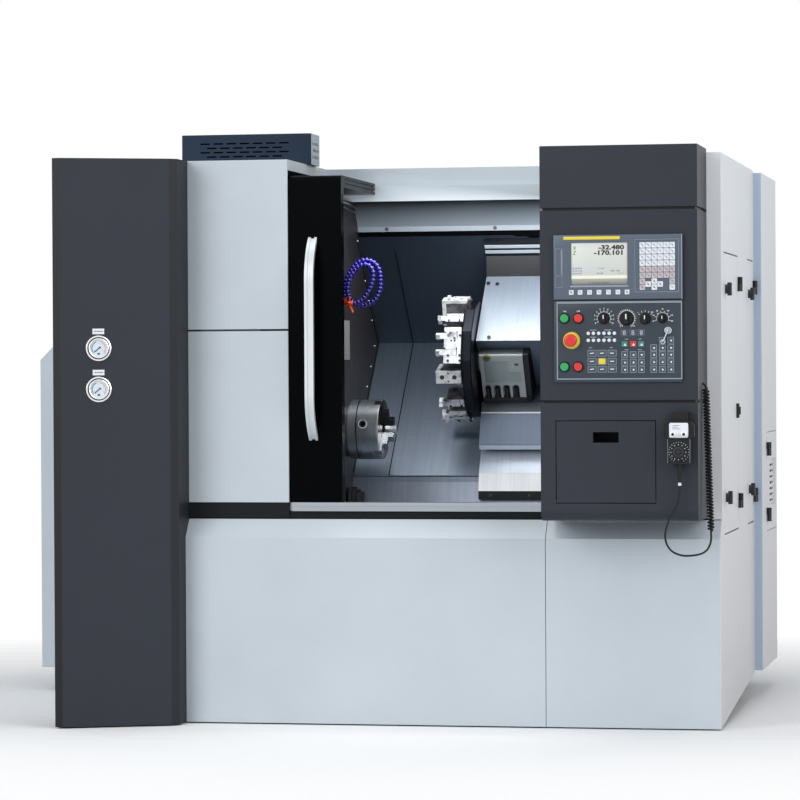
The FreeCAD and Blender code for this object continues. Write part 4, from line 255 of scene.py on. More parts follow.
# %% [markdown]
# ## Metals
# Brushed metal shows fine lines in the brushing direction. Noise that is squeezed across the
# lines and stretched along them gives both the streaks in roughness and a very low bump.

# %% Brushed and cast metal
STREAK_DEPTH = 0.00006


def brushed(name, colour, roughness, lines, wear=0.12, metallic=1):
    finish = Finish(name, metallic=metallic)
    streaks = finish.noise(1, 4, lines, 0.6)
    share = finish.noise(3.5, 5).ramp(0.3, 0.7) * 0.6 + streaks.ramp(0.3, 0.7) * 0.4
    finish.set("Base Color", finish.mix(share, dimmed(tone(*colour), 1 - wear), tone(*colour)))
    finish.set("Roughness", streaks.ramp(0.25, 0.75, roughness - 0.05, roughness + 0.05))
    return finish.bump(streaks, 0.3, STREAK_DEPTH)


def casting(name, colour, roughness=0.55):
    """Painted cast iron: a pebbled skin under paint."""
    finish = Finish(name, roughness=roughness)
    share = finish.noise(4, 4).ramp(0.3, 0.7)
    finish.set("Base Color", finish.mix(share, tone(*colour), dimmed(tone(*colour), 0.75)))
    return finish.bump(finish.noise(90, 5), 0.45, 0.0006)


aluminium = brushed("brushed_aluminium", (208, 213, 216), 0.4, (420, 420, 3), 0.1, 0.4)
sill_aluminium = brushed("sill_aluminium", (160, 166, 174), 0.35, (3, 420, 420), 0.08)
bright_steel = brushed("ground_steel", (196, 200, 205), 0.26, (4, 300, 300))
dark_steel = brushed("blackened_steel", (62, 64, 68), 0.42, (60, 200, 200), 0.3)
key_metal = brushed("key_metal", (182, 186, 191), 0.35, (90, 90, 90), metallic=0.7)
chrome = Finish("chrome_plate", base_color=tone(235, 236, 238), metallic=1, roughness=0.08).material
grey_casting = casting("grey_casting", (152, 157, 161))
bed_casting = casting("bed_casting", (52, 54, 58), 0.65)

# %% [markdown]
# ## Plastics, rubber and glass
# Moulded plastic is matt with a fine pebble; the buttons are glossier and rubber is rougher.
# Printed figures, seals and black screws use the same recipe.

# %% Plastics
def moulded(name, colour, roughness=0.45, coat=0, shine=0.5):
    finish = Finish(name, base_color=tone(*colour), coat_weight=coat, specular_ior_level=shine)
    finish.set("Roughness", finish.noise(30, 3).ramp(0.3, 0.7, roughness - 0.04, roughness + 0.06))
    return finish.bump(finish.noise(700, 2), 0.3, 0.00008)


black_plastic = moulded("black_plastic", (14, 14, 16), shine=0.3)
blue_plastic = moulded("blue_plastic", (28, 14, 128), 0.24, 0.3)
orange_plastic = moulded("orange_plastic", (216, 72, 22), 0.3)
red_plastic = moulded("red_plastic", (226, 44, 42), 0.25, 0.3)
green_plastic = moulded("green_plastic", (38, 166, 92), 0.25, 0.3)
yellow_plastic = moulded("yellow_plastic", (240, 214, 64), 0.35)
teal_plastic = moulded("teal_plastic", (60, 138, 124), 0.4)
panel_plastic = moulded("panel_membrane", (38, 50, 62), 0.4)
bezel_plastic = moulded("bezel_plastic", (84, 95, 110), 0.4)
inner_plastic = moulded("inset_plastic", (66, 76, 90))
rubber = moulded("black_rubber", (12, 12, 14), 0.55, shine=0.35)
black_steel = moulded("black_steel", (10, 10, 12), 0.35, shine=0.6)
# A near-black, barely shiny finish for a strip that stands for a shadow: painted shadow.
painted_shadow_black = moulded("painted_shadow_black", (3, 3, 4), 0.8, shine=0.03)
white_key = moulded("white_key", (236, 238, 246), 0.4)
warm_key = moulded("warm_key", (200, 190, 194), 0.4)
pale_line = moulded("pale_line", (150, 162, 172), 0.4)
dial_white = moulded("dial_white", (220, 232, 240), 0.35)
gauge_pink = moulded("gauge_pink", (214, 150, 150), 0.35)
white_print = moulded("white_print", (246, 249, 252), 0.5)
black_print = moulded("black_print", (20, 22, 24), 0.5)
blue_print = moulded("blue_print", (52, 96, 186), 0.5)
green_print = moulded("green_print", (40, 168, 60), 0.5)
window_glass = Finish("window_glass", base_color=tone(150, 160, 160), roughness=0.05,
                      transmission_weight=0.8, ior=1.5).material

# %% [markdown]
# ## Finishes that change over one piece
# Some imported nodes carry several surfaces: a casting with a rubber seal, a cover whose front is
# black, a wall with a plate on it. Their finish asks where the point lies, in millimetres, and
# also along the slanted bed: s runs up the slope and n stands off it. On the turret housing's
# face, across and height start at its lower left corner.

# %% Where a point lies
HOUSING_LEFT = 234
FACE_LOW = 165
FACE_STEP = 0.9757


class Spot:
    """The shaded point, as numbers that a mask can ask for."""

    def __init__(self, finish):
        zero = at(0, 0, 0)
        self.x, self.y, self.z = ((part - away) * (1 / MM) for part, away in zip(finish.split(), zero))
        self.s = (self.y + self.z - (SLANT_Y + SLANT_Z)) * HALF_ROOT
        self.n = (self.z - self.y - (SLANT_Z - SLANT_Y)) * HALF_ROOT
        self.across = self.x - HOUSING_LEFT
        self.height = (self.n - FACE_LOW) * (1 / FACE_STEP)


def within(value, low, high):
    return value.over(low) * value.under(high)


def around_point(first, second, middle, radius):
    """True inside a circle."""
    return ((first - middle[0]).power(2) + (second - middle[1]).power(2)).under(radius ** 2)


def patched(finish, spot, colour, patches):
    """Lays patches over a colour; each is a mask of the spot and an sRGB colour."""
    for mask, patch in patches:
        colour = finish.mix(mask(spot), colour, tone(*patch))
    return colour


def even_clouds(finish, spot):
    return finish.noise(*CLOUDS).ramp(0.3, 0.7)


def sheet_coat(name, low, high, patches, roughness=0.5, shine=0.5, share=even_clouds, skin=None):
    """Powder coat between two colours, with patches over it and a ripple or another skin."""
    finish = Finish(name, roughness=roughness, specular_ior_level=shine)
    spot = Spot(finish)
    colour = finish.mix(share(finish, spot), tone(*low), tone(*high))
    finish.set("Base Color", patched(finish, spot, colour, patches))
    scale, strength, depth = skin or (PEEL, PEEL_STRENGTH, PEEL_DEPTH)
    return finish.bump(finish.noise(*scale), strength, depth)


# %% Side skin, its doors and the cabinet
# The side is painted a touch lighter towards the roof, painted light from above. Its latches, hinges and
# door joints are black.
LATCH_BLACK = (12, 12, 14)
JOINT_HALF = 2.5
CABINET_SHADED_STRIP_END = 1152
door_ends = [corner.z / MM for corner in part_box("side_door_front")]


# Painted light: the side's colour runs lighter towards the roof.
def lighter_upwards(finish, spot):
    return spot.z.ramp(200, 1700) * finish.noise(*CLOUDS).ramp(0.3, 0.7, 0.96, 1.02)


def side_coat(name, *patches):
    return sheet_coat(name, (208, 206, 208), (242, 245, 248), patches, 0.45, share=lighter_upwards)


def at_door_ends(p):
    return sum(within(p.z, end - JOINT_HALF, end + JOINT_HALF) for end in door_ends)


side_paint = side_coat("side_grey_coat")
door_paint = side_coat("side_door_coat", (at_door_ends, (30, 31, 34)),
                       (lambda p: p.x.over(1100.8), LATCH_BLACK))
# The cabinet's front strip is painted bluish grey: painted shade on the face turned from the light.
cabinet_paint = side_coat("cabinet_coat", (lambda p: p.y.under(CABINET_SHADED_STRIP_END), (172, 186, 206)),
                          (lambda p: p.x.over(1128.8), LATCH_BLACK))

# %% Control housing, left cover, vent box and header
VENT_TOP = (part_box("vent_box")[1].z - 0.0006) / MM

# Charcoal; the two joints round the control housing are black.
dark_paint = sheet_coat("charcoal_coat", (38, 42, 51), (42, 46, 55), (
    (lambda p: within(p.z, 1038, 1046.5) + within(p.z, 1638.5, 1647), (8, 8, 10)),), shine=0.3)

# The narrow bend at the left and the folded edge at the right are painted darker still, painted shade on
# faces turned from the light.
cover_paint = sheet_coat("left_cover_coat", (38, 42, 51), (41, 45, 54), (
    (lambda p: p.x.under(-989.5), (14, 16, 20)), (lambda p: p.x.over(-664), (28, 31, 38))), shine=0.3)

# Navy, with a pale sheet at the right; the slots and everything behind them are painted black, painted shade
# inside the box.
vent_paint = sheet_coat("vent_coat", (30, 42, 58), (35, 48, 66), (
    (lambda p: p.x.over(-292.6) * p.y.over(344), (176, 189, 199)),
    (lambda p: within(p.x, -733.4, -292.5) * within(p.y, 340.5, 469.5) * p.z.under(VENT_TOP), (4, 5, 7)),
), shine=0.12)

# The lintel is painted darker towards the rail above it, painted shade under the rail; the rail and the
# lintel's flange are pale.
header_paint = sheet_coat("header_coat", (124, 135, 144), (5, 5, 6), (
    (lambda p: 1 - p.y.over(633) * p.z.under(1717), (204, 214, 221)),
    (lambda p: p.z.under(1634.5), (126, 136, 146)),
), 0.42, share=lambda finish, p: p.z.ramp(1634, 1712))


# %% Covers inside the chamber
LOW_STOP = 600
STOP_RANGE = 1100


def chamber_sheet(name, stops, patches, roughness=0.38, metallic=0.35, lines=(60, 2, 2)):
    """Sheet steel whose colours by height are painted light and shade, mostly darker upward; stops are
    (height, colour).
    """
    finish = Finish(name, metallic=metallic)
    spot = Spot(finish)
    painted_shade_levels = spot.z.ramp(LOW_STOP, LOW_STOP + STOP_RANGE)
    marks = [((height - LOW_STOP) / STOP_RANGE, tone(*colour)) for height, colour in stops]
    colour = finish.node("ShaderNodeValToRGB", {"stops": marks}, {0: painted_shade_levels})
    stains = finish.noise(2.4, 7, rough=0.6)
    runs = finish.noise(1, 6, lines, 0.65)
    shade = runs.ramp(0.3, 0.7, 0, 0.16) + stains.ramp(0.3, 0.75, 0, 0.22)
    colour = finish.mix(shade, colour, tone(26, 30, 36))
    finish.set("Base Color", patched(finish, spot, colour, patches))
    finish.set("Roughness", stains.ramp(0.3, 0.7, roughness - 0.1, roughness + 0.12))
    return finish.bump(runs, 0.2, 0.0002)


# The liner is painted darker upward, painted shade under the roof, and black above 1612 mm, a painted shadow
# under the lintel's flange.
liner_steel = chamber_sheet("liner_steel", (
    (640, (168, 178, 194)), (768, (160, 170, 186)), (800, (160, 174, 192)), (1100, (120, 134, 150)),
    (1300, (76, 88, 104)), (1560, (46, 56, 70)), (1640, (36, 45, 57)),
), ((lambda p: p.z.over(1612), (4, 5, 7)),))
# The wall is painted darker upward, painted shade under the roof; the plate on it is black above 1600 mm, a
# painted shadow under the lintel's flange.
wall_steel = chamber_sheet("wall_steel", (
    (640, (92, 94, 100)), (900, (80, 80, 84)), (1300, (52, 49, 52)), (1640, (26, 23, 30)),
), ((lambda p: p.x.over(-209) * p.z.over(1600), (14, 14, 16)),
    (lambda p: p.x.over(-209) * p.z.under(1600), (150, 150, 150))), 0.5, 0.1, (2, 60, 2))
# The cover's colours by height are painted light and shade of its faces: near white low on its front, darker
# towards the top.
cover_steel = chamber_sheet("cover_steel", (
    (640, (252, 254, 255)), (792, (252, 254, 255)), (798, (214, 224, 238)), (900, (200, 210, 225)),
    (1100, (216, 226, 238)), (1240, (178, 188, 200)), (1320, (160, 171, 184)), (1420, (140, 152, 166)),
), ((lambda p: p.y.under(577.5) * p.z.under(735.5), (4, 5, 7)),
    (lambda p: within(p.s, 275, 279.5) * within(p.n, 100, 368.5), (84, 96, 108)),
    (lambda p: p.s.over(586) * p.n.over(371), (10, 15, 22)),
    (lambda p: within(p.s, 560, 633.4) * (within(p.n, 437.5, 450.5) + within(p.n, 461.5, 474.5)),
     (196, 206, 216))), 0.34, 0.25, (260, 3, 3))
# The slide's lip low on the slope is painted near white, a painted highlight on a face the lamps leave in
# shade.
slide_steel = chamber_sheet("slide_steel", (
    (640, (116, 130, 150)), (1700, (116, 130, 150)),
), ((lambda p: p.s.over(173), (70, 76, 84)),
    (lambda p: p.s.under(65.5) * p.n.under(87), (240, 248, 255)),
    (lambda p: within(p.s, 168.5, 173), (210, 216, 222))), 0.36, 0.3, (260, 3, 3))

# %% Turret housing
# A beige casting: two sunk panes, a small plate with a dark end, a brass plug, four black
# fittings at the foot, a dark foot and top, and a black guard at the right.
housing_paint = sheet_coat("turret_housing_coat", (188, 196, 192), (176, 186, 184), (
    (lambda p: p.across.under(12), (206, 210, 208)),
    (lambda p: within(p.across, 15.8, 96.2) * within(p.height, 59.8, 143.2)
     + within(p.across, 94.8, 137.2) * within(p.height, 59.8, 100.2), (166, 176, 176)),
    (lambda p: within(p.across, 100.8, 116) * within(p.height, 123.8, 134.2), (222, 226, 226)),
    (lambda p: within(p.across, 116, 130.2) * within(p.height, 123.8, 134.2), (58, 60, 62)),
    (lambda p: around_point(p.across, p.height, (26, 156), 12.4), (126, 122, 70)),
    (lambda p: sum(within(p.across, 9.8 + 32 * index, 26.2 + 32 * index) for index in range(4))
     * p.height.under(39), (26, 28, 32)),
    (lambda p: p.n.under(FACE_LOW + 0.4), (58, 54, 50)),
    (lambda p: p.n.over(329.2), (70, 78, 84)),
    (lambda p: p.across.over(147.4), (22, 23, 26)),
), share=lambda finish, p: finish.noise(6, 4).ramp(0.3, 0.7), skin=((90, 5), 0.4, 0.0005))


# %% Chuck, turret disc and tool blocks
def banded_steel(name, colour, patches, roughness=0.3, lines=(500, 20, 20)):
    """Turned steel with rings along the axis, painted shade and painted highlights among them."""
    finish = Finish(name, metallic=0.85)
    streaks = finish.noise(1, 4, lines, 0.6)
    tint = finish.mix(streaks.ramp(0.3, 0.7), dimmed(tone(*colour), 0.75), tone(*colour))
    finish.set("Base Color", patched(finish, Spot(finish), tint, patches))
    finish.set("Roughness", streaks.ramp(0.25, 0.75, roughness - 0.05, roughness + 0.08))
    return finish.bump(streaks, 0.3, STREAK_DEPTH)


def key_sockets(p):
    """Where the chuck's key sockets go in, below its outer face; painted black as painted shade."""
    return within(p.x, KEY_X - 9, KEY_X + 9) * around_point(p.y, p.z, SPINDLE, 98.5)


# The two thin dark rings are painted shade standing for grooves, and the key sockets are painted black,
# painted shade in the holes.
chuck_steel = banded_steel("chuck_steel", (166, 173, 180), (
    (lambda p: within(p.x, -83.4, -80), (74, 74, 76)),
    (lambda p: within(p.x, -160.4, -156.6), (30, 30, 32)),
    (lambda p: within(p.x, -86.5, -83.4), (226, 228, 230)),
    (lambda p: within(p.x, -230, -188), (110, 112, 116)),
    (key_sockets, (4, 4, 5))))
# The dark disc has a lighter bluish ring at its rim, a painted highlight on the edge.
disc_steel = banded_steel("disc_steel", (24, 27, 36), (
    (lambda p: within(p.x, 187, 192.2), (46, 52, 64)),), 0.34, (30, 200, 200))


def tool_coat():
    """Ground bright on the blocks' outer faces and at the tips; the sides are painted darker, painted shade,
    with stains over it.
    """
    finish = Finish("tool_steel", metallic=0.3)
    spot = Spot(finish)
    stains = finish.noise(34, 5)
    ground = finish.mix(stains.ramp(0.45, 0.75), tone(228, 231, 235), tone(140, 142, 145))
    # Painted shade: the blocks' sides are darker than their ground faces.
    sides = finish.mix(stains.ramp(0.4, 0.65), tone(112, 115, 120), tone(52, 54, 58))
    outer = 1 - around_point(spot.y, spot.z, TURRET, 202.3) + spot.x.under(118)
    finish.set("Base Color", finish.mix(outer, sides, ground))
    finish.set("Roughness", stains.ramp(0.3, 0.7, 0.34, 0.46))
    return finish.bump(stains, 0.15, 0.0002)


tool_steel = tool_coat()

# %% [markdown]
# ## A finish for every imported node
# The table says which finish each kept node gets. Nodes that are modelled again further down
# get one too, so that nothing is ever left bare.

# %% Dress the nodes
FINISHES = (
    (plinth_paint, "base_bed"),
    # Chuck jaw 3 takes the dark steel as painted shade; the other two, identical jaws are bright.
    (dark_steel, "levelling_feet chuck_jaw_3 motor_pulley"),
    (light_paint, "lower_front_panels left_front_panels left_end_housing roof back_panels"),
    (cover_paint, "left_cover"), (sill_aluminium, "sill_rail"), (header_paint, "header"),
    (side_paint, "right_skin"), (cabinet_paint, "rear_cabinet cabinet_door"), (vent_paint, "vent_box"),
    (wall_steel, "chamber_left_wall"), (liner_steel, "chamber_liner way_cover_mid"),
    (grey_casting, "headstock saddle"), (motor_paint, "spindle_motor"),
    (rubber, "drive_belt pendant_cable curly_cord"),
    (bright_steel, "z_rails z_screw spindle chuck_jaw_1 chuck_jaw_2"),
    (dark_paint, "control_housing access_door"), (bezel_plastic, "lcd_unit"),
    (panel_plastic, "operator_panel"), (blue_plastic, "coolant_hose"), (orange_plastic, "coolant_nozzle"),
    (chrome, "pressure_gauges"), (door_black, "door_frame"), (window_glass, "door_window"),
    (aluminium, "door_handle"), (chuck_steel, "chuck_body"), (cover_steel, "saddle_cover"),
    (slide_steel, "cross_slide"), (housing_paint, "turret_housing"), (disc_steel, "turret_disc"),
    (tool_steel, "tool_holders"), (door_paint, "side_door_front side_door_rear"),
    (red_plastic, "emergency_stop button_hold button_power_off"),
    (green_plastic, "button_start button_power_on"),
    (black_plastic, "hinges pendant_body mode_knob feed_knob rapid_knob spindle_knob pendant_dial"),
)
finish_of = {name: material for material, names in FINISHES for name in names.split()}


def dress(obj, material):
    obj.data.materials.clear()
    obj.data.materials.append(material)


for node_name, node in nodes.items():
    dress(node, finish_of[node_name])
print("dressed", len(finish_of), "nodes")

# %% [markdown]
# ## The pendant's cord
# The hand pendant hangs on a hook and its cable drops in a loose loop below the housing, then
# rises at the side as a stretched curly cord and goes back into the housing. One NURBS curve
# follows the whole way: a few points for the loop, and fourteen points for each curl.

# %% Curve helpers
def nurbs(name, points, resolution=4):
    """A smooth open curve with these points as its control points."""
    curve = bpy.data.curves.new(name, "CURVE")
    curve.dimensions = "3D"
    spline = curve.splines.new("NURBS")
    spline.points.add(len(points) - 1)
    for spot, place in zip(spline.points, points):
        spot.co = (*place, 1)
    spline.order_u = 3
    spline.use_endpoint_u = True
    spline.resolution_u = resolution
    curve.resolution_u = resolution
    curve.bevel_resolution = 2
    made = bpy.data.objects.new(name, curve)
    bpy.context.scene.collection.objects.link(made)
    return made


def followed(curve_object):
    """The points along a curve that has no bevel yet."""
    mesh = bpy.data.meshes.new_from_object(curve_object)
    points = [vertex.co.copy() for vertex in mesh.vertices]
    bpy.data.meshes.remove(mesh)
    return points


def way_length(points):
    return sum((b - a).length for a, b in zip(points, points[1:]))


# %% Pendant cord
CORD_RADIUS = 3.25
CURLS = 46
CURL_RADIUS = 8.4
CURL_STEPS = 14
CABLE_ROUTE = (
    (1000, -249, 800), (1000.5, -249, 764), (994, -248, 726), (975, -246, 692), (957, -243, 655),
    (951, -239, 616), (966, -231, 580), (999, -213, 563), (1031, -187, 562), (1058, -151, 566),
    (1073, -115, 578), (1081, -94, 603),
)
curl_start = at(1080, -92, 632)
curl_end = at(1066, -92, 1086)


def ease(value):
    value = min(max(value, 0), 1)
    return value * value * (3 - 2 * value)


def curl_points():
    axis = curl_end - curl_start
    pitch = axis.length / CURLS
    axis.normalize()
    side = axis.cross(Vector((0, 1, 0))).normalized()
    other = axis.cross(side)
    points = []
    for index in range(CURLS * CURL_STEPS + 1):
        turns = index / CURL_STEPS
        radius = CURL_RADIUS * MM * ease(turns) * ease(CURLS - turns)
        angle = 2 * math.pi * turns
        round_axis = side * math.cos(angle) + other * math.sin(angle)
        points.append(curl_start + axis * (pitch * turns) + round_axis * radius)
    return points


cord_points = [at(*place) for place in CABLE_ROUTE] + curl_points()
cord_points += [at(1061, -90, 1094), at(1055, -88, 1098)]
pendant_cord = nurbs("pendant_cord", cord_points)
cord_length = way_length(followed(pendant_cord))
pendant_cord.data.bevel_depth = CORD_RADIUS * MM
pendant_cord.data.materials.append(rubber)
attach(pendant_cord, "machine")
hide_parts("pendant_cable", "curly_cord")
print("pendant cord runs", round(cord_length, 3), "m")

# %% [markdown]
# ## The coolant hose
# The hose is a chain of snap-together beads that keeps the shape it is bent to: two loops above
# its valve. One bead is turned from a short cylinder, and its copies are threaded on the
# route's curve, each facing along it.

# %% Modelling helpers
def clear_selection():
    if bpy.context.object and bpy.context.object.mode != "OBJECT":
        bpy.ops.object.mode_set(mode="OBJECT")
    bpy.ops.object.select_all(action="DESELECT")


def fix_place(obj):
    """Puts the object's place, turn and scale into its mesh."""
    obj.data.transform(obj.matrix_world)
    obj.matrix_world = Matrix.Identity(4)


def pick(obj, wanted, kind="FACE"):
    """In edit mode, selects just the faces or edges whose middle and direction pass the test."""
    bpy.ops.mesh.select_mode(type=kind)
    bpy.ops.mesh.select_all(action="DESELECT")
    mesh = bmesh.from_edit_mesh(obj.data)
    if kind == "FACE":
        for face in mesh.faces:
            face.select = wanted(obj.matrix_world @ face.calc_center_median(), face.normal)
    else:
        for edge in mesh.edges:
            a, b = (obj.matrix_world @ corner.co for corner in edge.verts)
            edge.select = wanted((a + b) / 2, (b - a).normalized())
    bmesh.update_edit_mesh(obj.data)


def bevelled(size, segments):
    bpy.ops.mesh.bevel(offset=size, segments=segments, affect="EDGES")


def extruded(rise):
    bpy.ops.mesh.extrude_region_move(TRANSFORM_OT_translate={"value": (0, 0, rise)})


def resized(x, y, z):
    bpy.ops.transform.resize(value=(x, y, z), center_override=(0, 0, 0))


def finish_edit(obj, name, material, body, angle=30):
    """Leaves edit mode, shades the piece, fixes its place and lets it ride on a body."""
    if obj.mode == "EDIT":
        bpy.ops.object.mode_set(mode="OBJECT")
    fix_place(obj)
    obj.name = name
    bpy.ops.object.shade_smooth_by_angle(angle=math.radians(angle))
    dress(obj, material)
    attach(obj, body)
    return obj


def joined(parts):
    clear_selection()
    for part in parts:
        part.select_set(True)
    bpy.context.view_layer.objects.active = parts[0]
    if len(parts) > 1:
        bpy.ops.object.join()
    return parts[0]


def copy_of(obj, matrix):
    """A copy with its own mesh, moved by a matrix."""
    twin = obj.copy()
    twin.data = obj.data.copy()
    bpy.context.scene.collection.objects.link(twin)
    twin.data.transform(matrix)
    return twin


# %% Hose beads
HOSE_RADIUS = 9.5 * MM
BEAD_PITCH = 13 * MM
BEAD_RADIUS = 0.97 * HOSE_RADIUS
BEAD_LENGTH = 0.76 * BEAD_PITCH
BEAD_ROUNDING = 0.36 * HOSE_RADIUS
NECK_SIZE = (0.94, 0.94, 1.42)
HOSE_ROUTE = (
    (-196, 398, 1386), (-195, 398, 1412), (-190, 398, 1438), (-181, 398, 1460), (-168, 398, 1481),
    (-151, 398, 1500), (-130, 398, 1511), (-107, 398, 1510), (-86, 398, 1498), (-74, 398, 1477),
    (-70, 398, 1449), (-71, 398, 1416), (-80, 398, 1388), (-101, 397, 1367), (-128, 396, 1357),
    (-155, 393, 1361), (-173, 386, 1378), (-179, 378, 1403), (-176, 373, 1430), (-167, 371, 1455),
    (-152, 371, 1478), (-132, 371, 1494), (-110, 371, 1496), (-94, 371, 1483), (-89, 371, 1460),
    (-94, 371, 1432), (-105, 371, 1406), (-120, 371, 1383), (-138, 371, 1368), (-158, 371, 1363),
)
hose_line = nurbs("hose_line", [at(*place) for place in HOSE_ROUTE], 8)
hose_way = followed(hose_line)
bpy.data.objects.remove(hose_line)
hose_length = way_length(hose_way)
print("hose runs", round(hose_length, 3), "m")


def spaced(points, count):
    """Places at even steps along the points, each with its direction."""
    total = way_length(points)
    places = []
    travelled = 0
    wanted = [total * (index + 0.5) / count for index in range(count)]
    for a, b in zip(points, points[1:]):
        run = (b - a).length
        while wanted and travelled + run >= wanted[0]:
            places.append((a + (b - a) * ((wanted.pop(0) - travelled) / run), (b - a).normalized()))
        travelled += run
    return places


clear_selection()
bpy.ops.mesh.primitive_cylinder_add(vertices=20, radius=BEAD_RADIUS, depth=BEAD_LENGTH)
bead = bpy.context.active_object
bpy.ops.object.mode_set(mode="EDIT")
pick(bead, lambda mid, run: abs(run.z) < 0.1, "EDGE")
bevelled(BEAD_ROUNDING, 4)
pick(bead, lambda mid, normal: abs(normal.z) > 0.99)
extruded(0)
resized(*NECK_SIZE)
bpy.ops.object.mode_set(mode="OBJECT")
beads = []
for place, way in spaced(hose_way, round(hose_length / BEAD_PITCH)):
    turn = way.to_track_quat("Z", "Y").to_matrix().to_4x4()
    beads.append(copy_of(bead, Matrix.Translation(place) @ turn))
bpy.data.objects.remove(bead)
hose_beads = finish_edit(joined(beads), "hose_beads", blue_plastic, "machine", 50)
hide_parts("coolant_hose")
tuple(hose_way[0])
print("hose beads", len(beads))

# %% [markdown]
# ## Working planes and small forms
# The fine pieces sit on flat places: the bezel, the operator panel, a gauge's cover. `Plane`
# holds such a place in millimetres, u to the right, v up and w out of it. Each small form is
# modelled once from a primitive and then copied to every spot that needs it.

# %% Planes
class Plane:
    """A flat place to build on; w is measured from a face that stands off it."""

    def __init__(self, origin, right=(1, 0, 0), up=(0, 0, 1), face=0):
        self.origin = Vector(origin)
        self.right = Vector(right).normalized()
        self.up = Vector(up).normalized()
        self.out = self.right.cross(self.up).normalized()
        self.face = face

    def spot(self, u, v, w=0, turn=0):
        """The matrix that carries a form here, turned about w."""
        place = self.origin + (self.right * u + self.up * v + self.out * (self.face + w)) * MM
        axes = Matrix((self.right, self.up, self.out)).transposed().to_4x4()
        return Matrix.Translation(place) @ axes @ Matrix.Rotation(math.radians(turn), 4, "Z")


# %% Small forms
templates = []


def started(kind, **settings):
    """Adds a primitive and opens it in edit mode."""
    clear_selection()
    getattr(bpy.ops.mesh, "primitive_" + kind + "_add")(**settings)
    made = bpy.context.active_object
    templates.append(made)
    bpy.ops.object.mode_set(mode="EDIT")
    return made


def on_face(mid, depth):
    return mid.z > depth * MM * 0.99


def grown(size, rise=0):
    bpy.ops.mesh.select_all(action="SELECT")
    resized(*size)
    bpy.ops.transform.translate(value=(0, 0, rise))


def softened(form, depth, edge, segments=2, spokes=True):
    """Bevels the edges round the outer face; without spokes, only those that run round it."""
    def wanted(mid, run):
        along = spokes or abs(run.xy.dot(mid.xy.normalized())) < 0.5
        return abs(run.z) < 0.1 and on_face(mid, depth) and along

    if edge:
        pick(form, wanted, "EDGE")
        bevelled(edge * MM, segments)


def closed(form):
    bpy.ops.object.mode_set(mode="OBJECT")
    return form


def sunk(form, depth, inset, sink):
    """Insets the outer face and moves it in."""
    pick(form, lambda mid, normal: normal.z > 0.99 and on_face(mid, depth))
    bpy.ops.mesh.inset(thickness=inset * MM)
    bpy.ops.transform.translate(value=(0, 0, -sink * MM))


def block(width, height, depth, corner=0, edge=0, dish=0):
    """A plate or key with rounded corners, a softened edge and perhaps a dished face."""
    form = started("cube", size=1)
    grown((width * MM, height * MM, depth * MM), depth / 2 * MM)
    if corner:
        pick(form, lambda mid, run: abs(run.z) > 0.9, "EDGE")
        bevelled(corner * MM, 3)
    softened(form, depth, edge)
    if dish:
        sunk(form, depth, edge + 1, dish)
    return closed(form)


def disc(radius, depth, edge=0, sides=40, inset=0, sink=0, segments=3):
    """A round head, softened round its face, perhaps with a sunk middle."""
    form = started("cylinder", vertices=sides, radius=radius * MM, depth=depth * MM)
    grown((1, 1, 1), depth / 2 * MM)
    softened(form, depth, edge, segments)
    if sink:
        sunk(form, depth, inset, 0)
        extruded(-sink * MM)
    return closed(form)


def ring(outer, inner, depth, edge=0, sides=48, top=None):
    """A tube, perhaps tapered to a smaller outer radius at its face."""
    form = started("circle", vertices=sides, radius=outer * MM, fill_type="NOTHING")
    bpy.ops.mesh.extrude_edges_move(TRANSFORM_OT_translate={"value": (0, 0, 0)})
    resized(inner / outer, inner / outer, 1)
    bpy.ops.mesh.select_all(action="SELECT")
    extruded(depth * MM)
    bpy.ops.mesh.select_all(action="SELECT")
    bpy.ops.mesh.normals_make_consistent(inside=False)
    if top:
        middle = (outer + inner) / 2 * MM
        pick(form, lambda mid, run: on_face(mid, depth) and mid.xy.length > middle, "EDGE")
        resized(top / outer, top / outer, 1)
    softened(form, depth, edge, 2, False)
    return closed(form)


def border(width, height, line, depth):
    """A thin printed or raised frame."""
    form = started("plane", size=1)
    grown((width * MM, height * MM, 1))
    bpy.ops.mesh.inset(thickness=line * MM)
    bpy.ops.mesh.delete(type="FACE")
    bpy.ops.mesh.select_all(action="SELECT")
    extruded(depth * MM)
    return closed(form)


def screw(radius, head, socket=0.5):
    """A round head with a sunk socket."""
    return disc(radius, head, radius * 0.16, 24, radius * (1 - socket) * 0.8, head * 0.7, 2)


# %% Placing the forms
PRINT_DEPTH = 0.15 * MM


def spread(form, plane, w, spots):
    """Copies of one form at spots of a plane: (u, v) or (u, v, turn)."""
    return [(form, plane.spot(u, v, w, *turn)) for u, v, *turn in spots]


def formed(shape, plane, *rows):
    """New forms of one kind on a plane: (u, v, w, sizes)."""
    return [(shape(*sizes), plane.spot(u, v, w)) for u, v, w, *sizes in rows]


def on_circle(u, v, radius, turn):
    """A spot on a circle, turned clockwise from the top."""
    angle = math.radians(90 - turn)
    return u + radius * math.cos(angle), v + radius * math.sin(angle)


def around(form, plane, w, u, v, radius, first, last, count):
    """Copies along an arc, each turned to face its middle."""
    turns = [first + (last - first) * index / (count - 1) for index in range(count)]
    return spread(form, plane, w, [(*on_circle(u, v, radius, turn), -turn) for turn in turns])


def joined_copies(items):
    return joined([copy_of(form, spot) for form, spot in items])


def stamped(name, material, items, body="machine", angle=30):
    """Copies forms to their spots and joins them into one piece."""
    return finish_edit(joined_copies(items), name, material, body, angle)


